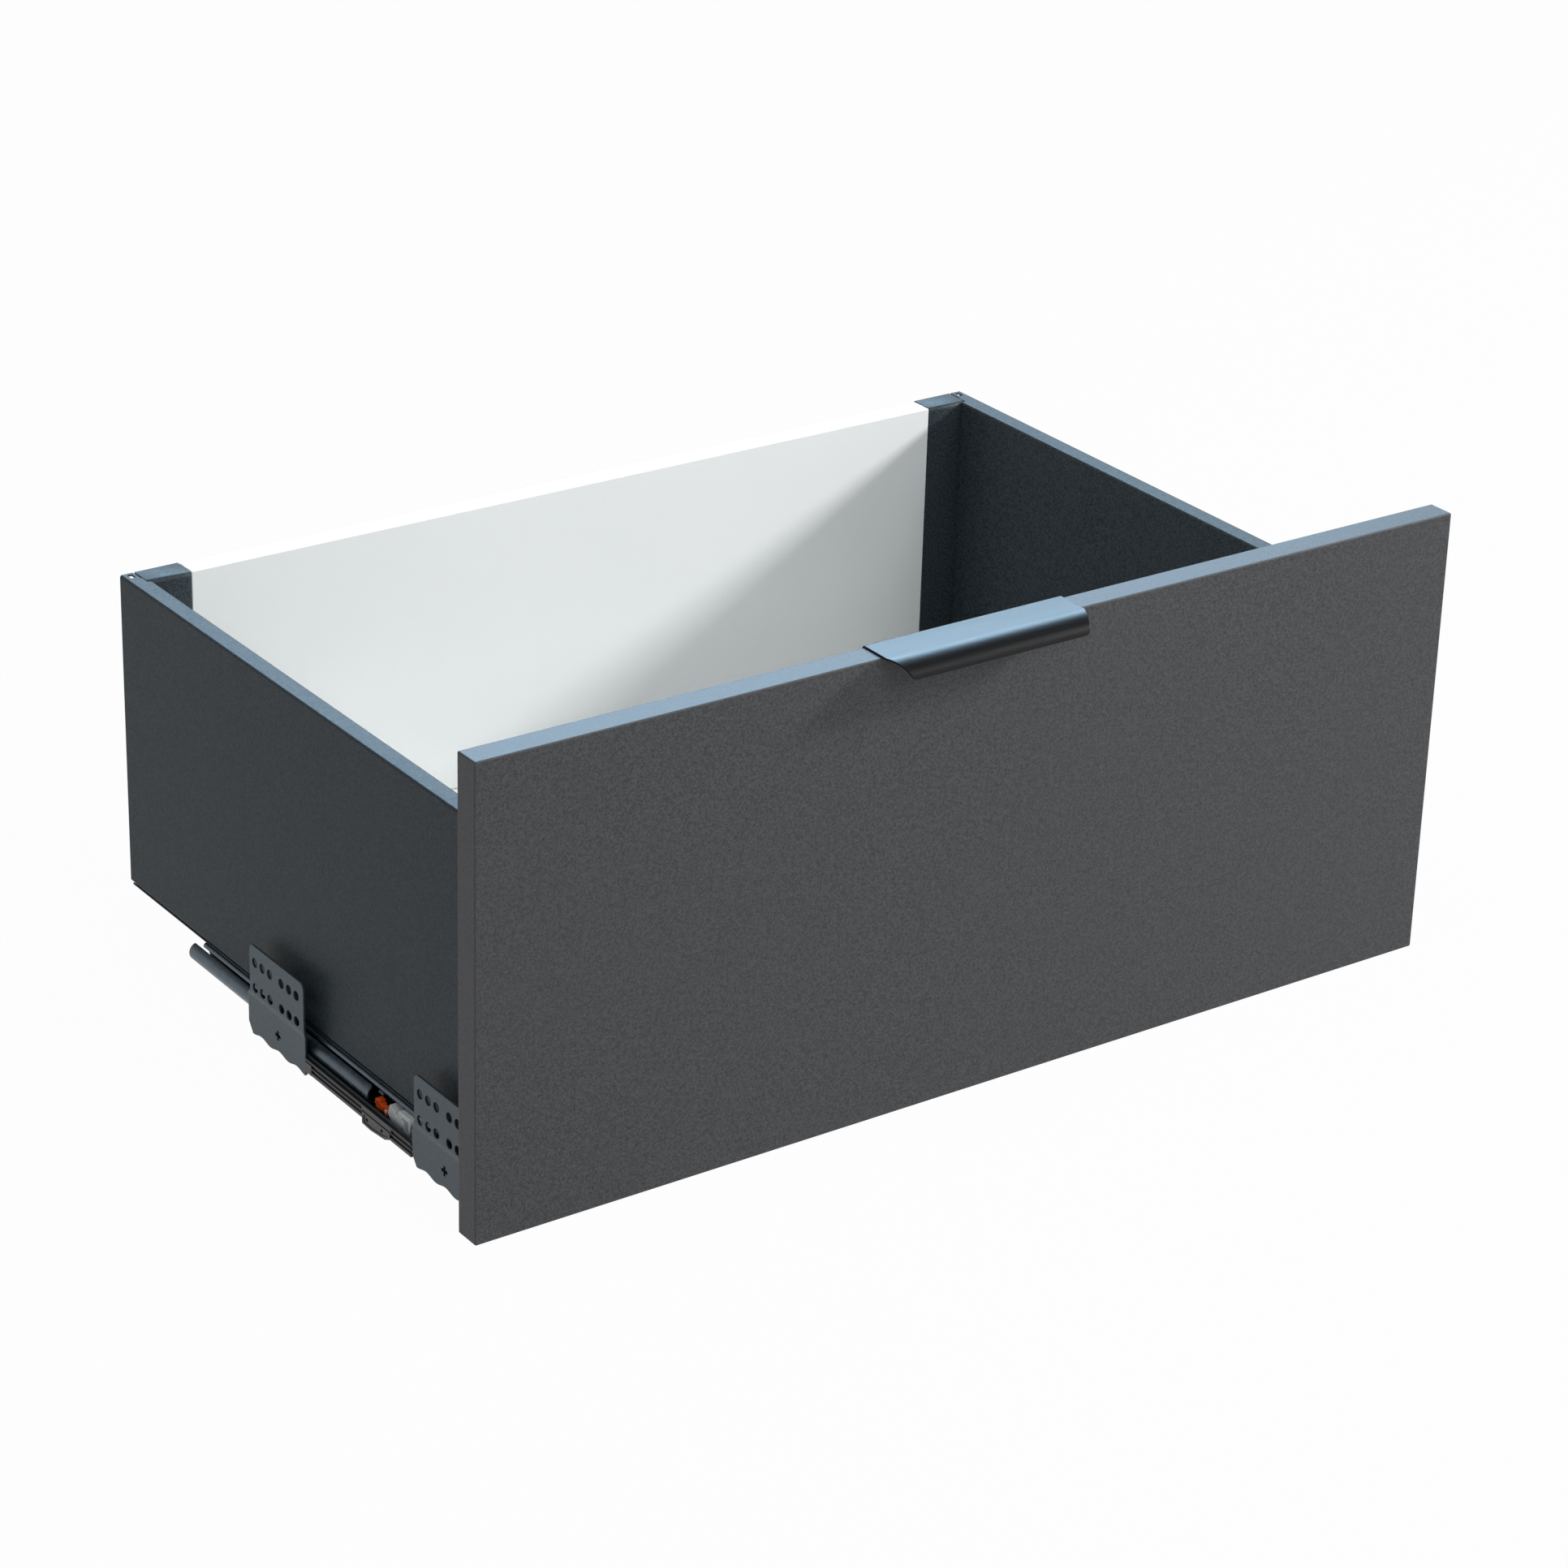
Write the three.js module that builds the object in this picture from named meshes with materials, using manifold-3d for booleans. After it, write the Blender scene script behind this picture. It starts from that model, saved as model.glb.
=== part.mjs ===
// Slim double-wall metal drawer on a pair of concealed full-extension slides, closed.
// Millimetres, +Z up, the drawer opens along -Y. Everything is drawn with y = 0 at the back face
// of the front board and z = 0 at its lower edge; the last lines move the origin to the middle
// of the underside of the whole object.
import * as THREE from "three";
import { mergeVertices } from "three/addons/utils/BufferGeometryUtils.js";
import Module from "manifold-3d";

const wasm = await Module();
wasm.setup();

// ---- Driving dimensions ----
const fit = 0.3; // gap left between pieces that touch on the real product
const run = 0.5; // running clearance between pieces that move past each other
const cabinetInner = 664; // clear width between the cabinet walls

const front = { overlay: 16.5, height: 296, thick: 18 }; // overlay: how far it covers each cabinet wall
const side = { thick: 13, height: 208, length: 440, lift: 28.5, skin: 1.2, round: 1.6 };
const sideGap = 10; // cabinet wall to the drawer side's outer face
const foot = { drop: 2.8, thick: 1.5, reach: 31 }; // ledge that carries the bottom board
const bottomThick = 16;
const backThick = 16;
const post = { width: 26.7, deep: 17.8, sheet: 1.5, overlap: 3, round: 3, flange: 17 };

const pull = {
  length: 141,
  offset: -11,
  sheet: 1.2,
  nose: 4,
  lipForward: 15,
  lipDrop: 9.3,
  lipTurn: 178,
  lipCut: 8.2,
  flange: 38,
};
const pullScrew = { spacing: 96, head: 3.6, shank: 1.6, length: 12, headHigh: 1.8, drop: 24 };

const plate = {
  sheet: 1.6, width: 65, extra: 4, low: 0.6, high: 62, corner: 4.5, first: 10.5, pitch: 192,
  step: 0.8, stepLow: 27, stepHigh: 31, chamfer: 5,
};
const hole = { radius: 3.1, margin: 8.5, pitch: 9, group: 32, rowLow: 34, rowHigh: 51 };
const cross = { arm: 6.6, slot: 2.2, along: 33, up: 13 };
const wave = { depth: 1.9, lobes: 3 };

const rail = { sheet: 1.5, start: 3, inset: 16.35 }; // inset: outer web to the middle of the running track
const cabinetRail = { past: 3.5, base: 3.5, web: 14, width: 29.4, lipUp: 15, lipIn: 3, tray: 21 };
const middleRail = { start: 10, shorter: 95, base: 10.3, width: 22.4, bulge: 5.4, wallUp: 20, cutBack: 138 };
const drawerRail = { start: 5, shorter: 100, hem: 1.9, webGap: 10.6, inner: 12.7 };
const cage = { thick: 1.4, width: 12, roller: 2.5, rollerWidth: 8.6 };
const lowerCage = { start: 113, length: 132, inset: 15 };
const upperCage = { start: 120, length: 115, inset: 20 };

const track = { thick: 2.2, low: 4.6, high: 13.6, groove: 1.1 };
const block = { from: 103, to: 135, low: 0.9, high: 9.6, pinHole: 1.1 };
const latch = { from: 91.5, to: 117, low: 6.2, high: 21.4, thick: 6.6 };
const guide = { radius: 4.3, high: 9, along: 86, pin: 1.5, raised: 0.4 };
const lever = {
  pivot: 120.5,
  pivotUp: 13.2,
  arm: 8.5,
  head: 4.3,
  rise: 0.9,
  pin: 1.4,
  wide: 6.2,
  plate: 1.6,
  eye: 2.4,
};

const closer = {
  cylinder: 4.6,
  bore: 2.2,
  rod: 1.7,
  up: 10.4,
  from: 200,
  length: 64,
  travel: 40,
  beside: 10.6,
};
const catchBlock = { from: 138, length: 15, high: 13, wide: 9 };
const spring = { radius: 2.1, wire: 0.7, beside: 2.2 };

const fixing = {
  deep: 34,
  low: 60,
  high: 190,
  plate: 2,
  along: 22,
  up: 96,
  cam: 4.2,
  slot: 1.1,
  bossWall: 3,
};
const plug = { radius: 5.8, neck: 4.6, crown: 0.9, fromRear: 33, up: 62 };
const backScrew = { head: 3.6, shank: 1.7, length: 12, headHigh: 1.8, down: 40 };
const recess = { reach: 0.62, slot: 0.45, deep: 1 };

// ---- Places worked out from them (right-hand side; the left side is its mirror image) ----
const wallX = cabinetInner / 2;
const outerX = wallX - sideGap; // drawer side, outer face
const innerX = outerX - side.thick; // drawer side, inner face
const sideTop = side.lift + side.height;
const footLow = side.lift - foot.drop;
const boardLow = footLow + foot.thick + fit;
const floorZ = boardLow + bottomThick; // the drawer's inside floor
const postFront = side.length - post.deep;
const backFront = postFront + fit;
const backRear = backFront + backThick;
const flangeRear = backRear + fit + post.sheet;
const postOuter = innerX + post.overlap;
const postInner = innerX - post.width;
const plateInner = wallX - plate.sheet - plate.step;
const webX = plateInner - fit - rail.sheet / 2; // cabinet rail's outer web, centre of its sheet
const baseTop = cabinetRail.base + rail.sheet / 2;
const drawerFlange = footLow - fit - rail.sheet / 2; // drawer rail's flanges, centre of the sheet
const middleOuter = webX - rail.sheet / 2 - 2 * run - rail.sheet / 2;
const middleBase = middleRail.base;
const railMid = webX - rail.inset;
const frontWidth = cabinetInner + 2 * front.overlay;
const drawerWeb = [railMid - drawerRail.webGap / 2, railMid + drawerRail.webGap / 2];
const rollerGap = 2 * cage.roller + 0.25;
const drawerBase = middleBase + rail.sheet / 2 + rollerGap + rail.sheet / 2;
const latchInner = drawerWeb[1] + rail.sheet / 2 + fit;
const trackOuter = webX + rail.sheet / 2 + fit + track.thick;
const plateStart = [plate.first, plate.first + plate.pitch];
const closerX = webX - cabinetRail.width - closer.beside;

// ---- Materials ----
const finish = (color, roughness, metalness) =>
  new THREE.MeshStandardMaterial({ color, roughness, metalness });
const paint = {
  front: finish(0x555252, 0.55, 0),
  side: finish(0x33363c, 0.5, 0.3),
  white: finish(0xe4e8ea, 0.45, 0),
  pull: finish(0x1b1d20, 0.35, 0.6),
  steel: finish(0x566166, 0.45, 0.7),
  zinc: finish(0x8c959c, 0.35, 0.9),
  black: finish(0x1d1e20, 0.5, 0),
  orange: finish(0xf0641e, 0.45, 0),
  pale: finish(0xd9dcdc, 0.4, 0.2),
};

// ---- Solids ----
function toSolid(geometry) {
  const bare = new THREE.BufferGeometry().setAttribute("position", geometry.getAttribute("position").clone());
  if (geometry.index) bare.setIndex(geometry.index);
  const merged = mergeVertices(bare, 1e-4);
  return new wasm.Manifold(
    new wasm.Mesh({
      numProp: 3,
      vertProperties: new Float32Array(merged.attributes.position.array),
      triVerts: new Uint32Array(merged.index.array),
    }),
  );
}

function toGeometry(solid) {
  const { vertProperties, triVerts } = solid.getMesh();
  const geometry = new THREE.BufferGeometry();
  geometry.setAttribute("position", new THREE.BufferAttribute(vertProperties, 3));
  geometry.setIndex(new THREE.BufferAttribute(triVerts, 1));
  geometry.computeVertexNormals();
  return geometry;
}

function box(x0, x1, y0, y1, z0, z1) {
  const g = new THREE.BoxGeometry(x1 - x0, y1 - y0, z1 - z0);
  return toSolid(g.translate((x0 + x1) / 2, (y0 + y1) / 2, (z0 + z1) / 2));
}

// A THREE.Shape through a list of points, with holes given as further lists.
function outline(points, holes = []) {
  const shape = new THREE.Shape(points.map(([a, b]) => new THREE.Vector2(a, b)));
  for (const h of holes) shape.holes.push(new THREE.Path(h.map(([a, b]) => new THREE.Vector2(a, b))));
  return shape;
}

// Prisms along each axis: alongX takes (y, z) outlines, alongY (x, z) and alongZ (x, y).
const turn = {
  x: new THREE.Matrix4().makeBasis(
    new THREE.Vector3(0, 1, 0), new THREE.Vector3(0, 0, 1), new THREE.Vector3(1, 0, 0)),
  y: new THREE.Matrix4().makeBasis(
    new THREE.Vector3(1, 0, 0), new THREE.Vector3(0, 0, 1), new THREE.Vector3(0, -1, 0)),
  z: new THREE.Matrix4(),
};
function prism(axis, shape, from, to, curveSegments = 6) {
  const g = new THREE.ExtrudeGeometry(shape, { depth: to - from, bevelEnabled: false, curveSegments });
  g.applyMatrix4(turn[axis]);
  if (axis === "x") g.translate(from, 0, 0);
  if (axis === "y") g.translate(0, to, 0);
  if (axis === "z") g.translate(0, 0, from);
  return toSolid(g);
}

// A round bar along an axis; at = the two other coordinates in X, Y, Z order.
function bar(axis, radius, from, to, at, sides = 16) {
  const g = new THREE.CylinderGeometry(radius, radius, to - from, sides);
  const mid = (from + to) / 2;
  if (axis === "x") g.rotateZ(-Math.PI / 2).translate(mid, at[0], at[1]);
  if (axis === "y") g.translate(at[0], mid, at[1]);
  if (axis === "z") g.rotateX(Math.PI / 2).translate(at[0], at[1], mid);
  return toSolid(g);
}

// The closed outline of a bent sheet: its centre line, thickened both ways with mitred bends.
function sheet(line, thick) {
  const v = line.map(([a, b]) => new THREE.Vector2(a, b));
  const origin = new THREE.Vector2();
  const normals = v.slice(1).map((p, i) =>
    p.clone().sub(v[i]).normalize().rotateAround(origin, Math.PI / 2));
  const offset = (s) => v.map((p, i) => {
    const n0 = normals[Math.max(i - 1, 0)];
    const n1 = normals[Math.min(i, normals.length - 1)];
    const m = n0.clone().add(n1).normalize();
    const q = p.clone().addScaledVector(m, (s * thick) / 2 / m.dot(n1));
    return [q.x, q.y];
  });
  return outline([...offset(-1), ...offset(1).reverse()]);
}

// Points along an arc, angles in degrees.
function arc(a, b, radius, from, to, steps, radiusB = radius) {
  return Array.from({ length: steps + 1 }, (_, i) => {
    const t = THREE.MathUtils.degToRad(from + ((to - from) * i) / steps);
    return [a + radius * Math.cos(t), b + radiusB * Math.sin(t)];
  });
}

const join = (...solids) => solids.reduce((a, b) => a.add(b));
const cut = (solid, ...tools) => tools.reduce((a, b) => a.subtract(b), solid);

const assembly = new THREE.Group();
function place(group, name, solid, material) {
  const mesh = new THREE.Mesh(toGeometry(solid), material);
  mesh.name = name;
  group.add(mesh);
}

// ---- Drawer front, pull, back and bottom boards ----
function frontBoard() {
  return box(-frontWidth / 2, frontWidth / 2, -front.thick, 0, 0, front.height);
}

const pullMid = front.height + pull.sheet / 2 + fit / 3;
const pullFlangeY = fit / 3 + pull.sheet / 2;
const pullNose = -front.thick - pull.nose;

// One sheet: a flange behind the front board, a flat top, then an elliptical lip with slanting ends.
function edgePull() {
  const line = [
    [pullFlangeY, front.height - pull.flange],
    [pullFlangeY, pullMid],
    ...arc(pullNose, pullMid - pull.lipDrop, pull.lipForward, 90, pull.lipTurn, 7, pull.lipDrop),
  ];
  const half = pull.length / 2;
  const bent = prism("x", sheet(line, pull.sheet), pull.offset - half, pull.offset + half);
  const tip = pullNose - pull.lipForward - pull.sheet;
  const plan = outline([
    [pull.offset - half, pullFlangeY + pull.sheet],
    [pull.offset - half, pullNose],
    [pull.offset - half + pull.lipCut, tip],
    [pull.offset + half - pull.lipCut, tip],
    [pull.offset + half, pullNose],
    [pull.offset + half, pullFlangeY + pull.sheet],
  ]);
  const trimmed = bent.intersect(prism("z", plan, front.height - pull.flange - 1, pullMid + pull.sheet));
  const holes = pullScrewX.map((x) => bar("y", pullScrew.shank + fit, 0, 4, [x, pullScrewZ]));
  return cut(trimmed, ...holes);
}
const pullScrewX = [-1, 1].map((s) => pull.offset + (s * pullScrew.spacing) / 2);
const pullScrewZ = front.height - pullScrew.drop;

// A pan-head screw along Y with a cross recess, its head towards +Y and its shank in the board.
function screwAlongY(spec, x, seatY, z) {
  const head = bar("y", spec.head, seatY, seatY + spec.headHigh, [x, z], 20);
  const shank = bar("y", spec.shank, seatY - spec.length, seatY + 0.1, [x, z], 12);
  const arm = spec.head * recess.reach;
  const slot = recess.slot;
  const low = seatY + spec.headHigh - recess.deep;
  const top = seatY + spec.headHigh + 1;
  return cut(
    join(head, shank),
    box(x - arm, x + arm, low, top, z - slot, z + slot),
    box(x - slot, x + slot, low, top, z - arm, z + arm),
  );
}
const pilot = (spec, x, seatY, z) =>
  bar("y", spec.shank + fit / 2, seatY - spec.length - fit, seatY + 4, [x, z], 12);

const pullSeat = pullFlangeY + pull.sheet / 2 + fit / 3;
place(assembly, "front_panel",
  cut(frontBoard(), ...pullScrewX.map((x) => pilot(pullScrew, x, pullSeat, pullScrewZ))), paint.front);
place(assembly, "edge_pull", edgePull(), paint.pull);
pullScrewX.forEach((x, i) =>
  place(assembly, `pull_screw_${i + 1}`, screwAlongY(pullScrew, x, pullSeat, pullScrewZ), paint.zinc));

const backScrewX = postInner - post.flange / 2;
const backScrewZ = sideTop - backScrew.down;
const backSeat = flangeRear + fit / 3;
const backHalf = postInner - fit;
const backBoard = cut(
  box(-backHalf, backHalf, backFront, backRear, floorZ + fit, sideTop),
  ...[-1, 1].map((s) => pilot(backScrew, s * backScrewX, backSeat, backScrewZ)),
);
place(assembly, "back_panel", backBoard, paint.white);
const bottomHalf = innerX - fit;
place(assembly, "bottom_panel",
  box(-bottomHalf, bottomHalf, fit, backRear, boardLow, floorZ), paint.white);

// ---- One side of the drawer with its slide, drawn for +X ----

// Hollow double wall with rounded top edges, and a foot under the bottom board.
function sideProfile() {
  const r = side.round;
  const s = side.skin;
  const outer = [
    [innerX - foot.reach, footLow],
    [outerX - foot.thick, footLow],
    [outerX - foot.thick, footLow + foot.thick],
    [innerX + foot.thick, footLow + foot.thick],
    [innerX + foot.thick, side.lift],
    [outerX, side.lift],
    ...arc(outerX - r, sideTop - r, r, 0, 90, 3),
    ...arc(innerX + r, sideTop - r, r, 90, 180, 3),
    [innerX, footLow + foot.thick],
    [innerX - foot.reach, footLow + foot.thick],
  ];
  const hollow = [
    [innerX + s, side.lift + s],
    [outerX - s, side.lift + s],
    [outerX - s, sideTop - s],
    [innerX + s, sideTop - s],
  ];
  const tube = prism("y", outline(outer, [hollow]), fit, side.length);
  const notchFrom = postFront - fit;
  const notchLow = footLow + foot.thick;
  const notch = box(innerX - 1, postOuter + fit, notchFrom, side.length + 1, notchLow, sideTop + 1);
  const camHole = bar("x", fixing.cam + fit, innerX - 1, innerX + side.skin + 1, [fixing.along, fixing.up]);
  const plugHole = bar("x", plug.neck + fit / 2, innerX - 1, innerX + side.skin + 1, [plugY, plugZ]);
  return cut(tube, notch, camHole, plugHole);
}
const plugY = side.length - plug.fromRear;
const plugZ = side.lift + plug.up;

// Post in the back corner: a channel open to the rear, closed on top, with a flange behind the back board.
function rearBracket() {
  const s = post.sheet;
  const low = floorZ + fit;
  const shell = cut(
    box(postInner, postOuter, postFront, side.length, low, sideTop),
    box(postInner + s, postOuter - s, postFront + s, side.length + 1, low - 1, sideTop - s),
  );
  const wing = box(postInner - post.flange, postInner + s, backRear + fit, flangeRear, low, sideTop - 2);
  const web = box(postInner, postInner + s, side.length - 1, flangeRear, low, sideTop - 2);
  // Rounding of the front top edge, as the region outside a quarter circle.
  const r = post.round;
  const corner = outline([
    [postFront - 1, sideTop + 1],
    [postFront - 1, sideTop - r],
    ...arc(postFront + r, sideTop - r, r, 180, 90, 4),
    [postFront + r, sideTop + 1],
  ]);
  const rounding = prism("x", corner, postInner - 1, postOuter + 1);
  const screwHole = bar("y", backScrew.shank + fit, backRear, flangeRear + 1, [backScrewX, backScrewZ], 12);
  return cut(join(shell, wing, web), rounding, screwHole);
}

// Tongue inside the hollow of the side, screwed to the front board, with a hole for the cam.
function frontFixing() {
  const inner = innerX + side.skin + fit;
  const outer = outerX - side.skin - fit;
  const tongue = box(inner, outer, fit, fixing.deep, fixing.low, fixing.high);
  const w = fixing.plate;
  const hollow = box(inner + w, outer + 1, w + fit, fixing.deep - w, fixing.low + w, fixing.high - w);
  const at = [fixing.along, fixing.up];
  const boss = bar("x", fixing.cam + fixing.bossWall, inner, outer - 1, at, 24);
  const camHole = bar("x", fixing.cam + 0.05 + fit / 2, inner - 1, outer + 1, at, 24);
  return cut(join(cut(tongue, hollow), boss), camHole);
}

// Cam that tilts the front: a disc with a cross recess, reached from inside the drawer.
function tiltCam() {
  const y = fixing.along;
  const z = fixing.up;
  const disc = bar("x", fixing.cam, innerX + 0.2, outerX - side.skin - 2, [y, z], 24);
  const arm = fixing.cam * 0.66;
  const deep = innerX + 2.2;
  return cut(
    disc,
    box(innerX - 1, deep, y - arm, y + arm, z - fixing.slot / 2, z + fixing.slot / 2),
    box(innerX - 1, deep, y - fixing.slot / 2, y + fixing.slot / 2, z - arm, z + arm),
  );
}

function plugCap() {
  const crown = bar("x", plug.radius, innerX - plug.crown, innerX - 0.1, [plugY, plugZ], 24);
  const neck = bar("x", plug.neck, innerX - 0.2, innerX + side.skin + 3, [plugY, plugZ], 24);
  return join(crown, neck);
}

// Wall plate: joggled inwards below a bend, two rows of two groups of three holes, and a wavy lower edge.
function wallPlate(start) {
  const { low, high, width, extra, corner, chamfer } = plate;
  const end = start + width;
  const crest = low + wave.depth / 2;
  const waves = Array.from({ length: 8 * wave.lobes + 1 }, (_, i) => {
    const t = i / (8 * wave.lobes);
    return [start + t * (width - 1), crest - (wave.depth / 2) * Math.cos(2 * Math.PI * wave.lobes * t)];
  });
  const face = outline([
    ...waves,
    [end + extra, low + chamfer + wave.depth],
    [end + extra, plate.stepLow],
    [end, plate.stepHigh],
    ...arc(end - corner, high - corner, corner, 0, 90, 4),
    ...arc(start + corner, high - corner, corner, 90, 180, 4),
  ]);
  const half = plate.sheet / 2;
  const section = sheet(
    [
      [wallX - half, high + 1],
      [wallX - half, plate.stepHigh],
      [wallX - half - plate.step, plate.stepLow],
      [wallX - half - plate.step, low - 1],
    ],
    plate.sheet,
  );
  const through = [wallX - 6, wallX + 6];
  const bent = prism("y", section, start - 1, end + extra + 1).intersect(prism("x", face, ...through));
  const holes = [];
  for (const z of [hole.rowLow, hole.rowHigh])
    for (const group of [0, hole.group])
      for (const k of [0, 1, 2])
        holes.push(bar("x", hole.radius, ...through, [start + hole.margin + group + k * hole.pitch, z], 14));
  const cy = start + cross.along;
  const a = cross.arm / 2;
  const c = cross.slot / 2;
  const star = [
    box(...through, cy - a, cy + a, cross.up - c, cross.up + c),
    box(...through, cy - c, cy + c, cross.up - a, cross.up + a),
  ];
  return cut(bent, ...holes, ...star);
}

// Fixed rail, which ends a little past the rear wall plate: outer web against the plates, base,
// inner wall with a lip, and a tray for the closer.
function cabinetRailSolid() {
  const inner = webX - cabinetRail.width;
  const { base, web, lipUp, lipIn, tray, past } = cabinetRail;
  const line = [[webX, web], [webX, base], [inner, base], [inner, lipUp], [inner + lipIn, lipUp]];
  const channel = sheet(line, rail.sheet);
  const end = plateStart[1] + plate.width + past;
  const trayFrom = catchBlock.from - closer.travel - 4;
  const trayTo = closer.from + closer.length + 6;
  const low = base - rail.sheet / 2;
  const traySolid = box(inner - tray, inner, trayFrom, trayTo, low, baseTop);
  const stopWall = box(inner - tray, inner, trayTo - 2, trayTo, low, closer.up + closer.cylinder);
  const frontWall = box(inner - tray, inner, trayFrom, trayFrom + 2, low, closer.up);
  return join(prism("y", channel, rail.start, end), traySolid, stopWall, frontWall);
}

// Intermediate rail: rounded outer wall, base, inner wall. The outer wall starts behind the latch.
function middleRailSolid() {
  const { base, bulge, width, wallUp, start, shorter, cutBack } = middleRail;
  const cx = middleOuter - bulge;
  const line = [
    ...arc(cx, base + bulge, bulge, 75, -90, 10),
    [middleOuter - width, base],
    [middleOuter - width, wallUp],
  ];
  const solid = prism("y", sheet(line, rail.sheet), start, start + side.length - shorter);
  const clear = box(latchInner - 2 * run, wallX, start - 1, cutBack, 0, 40);
  return cut(solid, clear);
}

// Moving rail under the drawer side: a channel with flanges, its outer edge turned down.
function drawerRailSolid() {
  const z = drawerFlange;
  const outer = outerX - rail.sheet / 2;
  const line = [
    [outer, z - drawerRail.hem],
    [outer, z],
    [drawerWeb[1], z],
    [drawerWeb[1], drawerBase],
    [drawerWeb[0], drawerBase],
    [drawerWeb[0], z],
    [drawerWeb[0] - drawerRail.inner, z],
  ];
  const { start, shorter } = drawerRail;
  const solid = prism("y", sheet(line, rail.sheet), start, start + side.length - shorter);
  // Tongue that takes the closer's catch along.
  const tongueY = catchBlock.from + catchBlock.length / 2;
  const tongue = box(closerX - 2, closerX + 2, tongueY - 1, tongueY + 1, catchTop + run, z);
  const armTo = drawerWeb[0] - drawerRail.inner + 1;
  const half = rail.sheet / 2;
  const arm = box(closerX - 2, armTo, tongueY - 4, tongueY + 4, z - half, z + half);
  return join(solid, arm, tongue);
}
const catchTop = baseTop + run + catchBlock.high;

const rollerX = [railMid - cage.rollerWidth / 2, railMid + cage.rollerWidth / 2];
const lowerZ = (baseTop + middleBase - rail.sheet / 2) / 2;
const upperZ = middleBase + rail.sheet / 2 + rollerGap / 2;
const rollerY = (c) => [c.start + c.inset, c.start + c.length - c.inset];

function cageSolid(c, z) {
  const half = cage.width / 2;
  const deep = cage.thick / 2;
  const strip = box(railMid - half, railMid + half, c.start, c.start + c.length, z - deep, z + deep);
  const pocket = cage.roller + fit;
  const pockets = rollerY(c).map((y) =>
    box(rollerX[0] - fit, rollerX[1] + fit, y - pocket, y + pocket, z - 3, z + 3));
  return cut(strip, ...pockets);
}

// Plastic track on the outer web between the two wall plates, with two lengthwise grooves.
function trackSolid() {
  const inner = webX + rail.sheet / 2 + fit;
  const from = plateStart[0] + plate.width + plate.extra + fit;
  const to = plateStart[1] - fit;
  const quarter = (track.high - track.low) / 4;
  const bottom = trackOuter - track.groove;
  const body = box(inner, trackOuter, from, to, track.low, track.high);
  const grooves = [1, 2.4].map((k) => {
    const low = track.low + k * quarter;
    return box(bottom, trackOuter + 1, from - 1, to + 1, low, low + 0.8 * quarter);
  });
  const gap = box(inner - 1, trackOuter + 1, block.from - fit, block.to + fit, 0, block.high + fit);
  const endStop = box(inner, trackOuter + 0.2, to - 8, to, track.low, track.high - 2);
  return join(cut(body, ...grooves, gap), endStop);
}

function trackBlock() {
  const inner = webX + rail.sheet / 2 + fit;
  const { from, to, low, high } = block;
  const face = outline([
    [from, low + 5], [from + 6, low + 2.4], [from + 22, low], [to, low + 1.4], [to, high], [from, high],
  ]);
  const solid = prism("x", face, inner, trackOuter + 0.3);
  const pins = [[from + 10, 6.2], [to - 5, 5.4]];
  const holes = pins.map((at) => bar("x", block.pinHole, inner - 1, trackOuter + 1, at, 10));
  return cut(solid, ...holes);
}

// White fork beside the drawer rail, with two ears in front that hold the guide roller.
const latchOuter = latchInner + latch.thick;
const guideX = webX - rail.sheet / 2 - 0.15 - guide.radius;
const guideMid = (latch.low + latch.high) / 2 + guide.raised;
const guideZ = [guideMid - guide.high / 2, guideMid + guide.high / 2];
function latchBody() {
  const { from, to, low, high } = latch;
  const wide = to - from;
  const fork = outline([
    [from, low],
    [from + 0.3 * wide, low],
    [from + 0.36 * wide, low + 7.5],
    [from + 0.46 * wide, low],
    [from + 0.66 * wide, low],
    [from + 0.94 * wide, low + 6.5],
    [to, low + 8.5],
    [to - 2.6, high],
    [from + 0.68 * wide, high - 3],
    [from + 0.6 * wide, high - 5.5],
    [from + 0.5 * wide, high],
    [from, high],
  ]);
  const plateSolid = prism("x", fork, latchInner, latchOuter);
  const earFrom = guide.along - guide.radius - 1;
  const ear = (z0, z1) => box(latchInner, guideX + 1.9, earFrom, from + 0.1, z0, z1);
  const ears = join(ear(low, guideZ[0] - fit), ear(guideZ[1] + fit, high));
  const axle = bar("z", guide.pin, low + 0.5, high - 0.5, [guideX, guide.along], 12);
  const r = lever.eye;
  const { pivot: eyeY, pivotUp: eyeZ } = lever;
  const pivotArm = box(latchInner, latchInner + lever.plate, from + 4, eyeY + r, eyeZ - r, eyeZ + r);
  const pivot = bar("x", lever.pin, latchInner, latchOuter - 0.6, [eyeY, eyeZ], 12);
  return join(plateSolid, ears, axle, pivotArm, pivot);
}

function guideRoller() {
  const ring = bar("z", guide.radius, guideZ[0], guideZ[1], [guideX, guide.along], 24);
  return cut(ring, bar("z", guide.pin + 0.15, 0, 40, [guideX, guide.along], 12));
}

// Orange lever: a round head with thumb ribs on a short arm that turns on the latch's pin.
function releaseLever() {
  const y = lever.pivot;
  const z = lever.pivotUp;
  const from = latchInner + lever.plate + fit;
  const to = from + lever.wide - lever.plate;
  const headAt = [y + lever.arm, z + lever.rise];
  const head = bar("x", lever.head, from - 1.2, to + 0.6, headAt, 20);
  const hub = bar("x", lever.pin + 1.6, from, to, [y, z], 16);
  const arm = box(from, to, y, y + lever.arm, z - 1.8, z + 2.4);
  const ribs = [-1, 0, 1].map((k) => {
    const a = headAt[0] + lever.head * Math.sin(0.55 * k + 0.5);
    const b = headAt[1] + lever.head * Math.cos(0.55 * k + 0.5);
    return bar("x", 0.55, from - 2, to + 2, [a, b], 8);
  });
  return cut(join(head, hub, arm), ...ribs, bar("x", lever.pin + 0.15, from - 3, to + 3, [y, z], 12));
}

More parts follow.
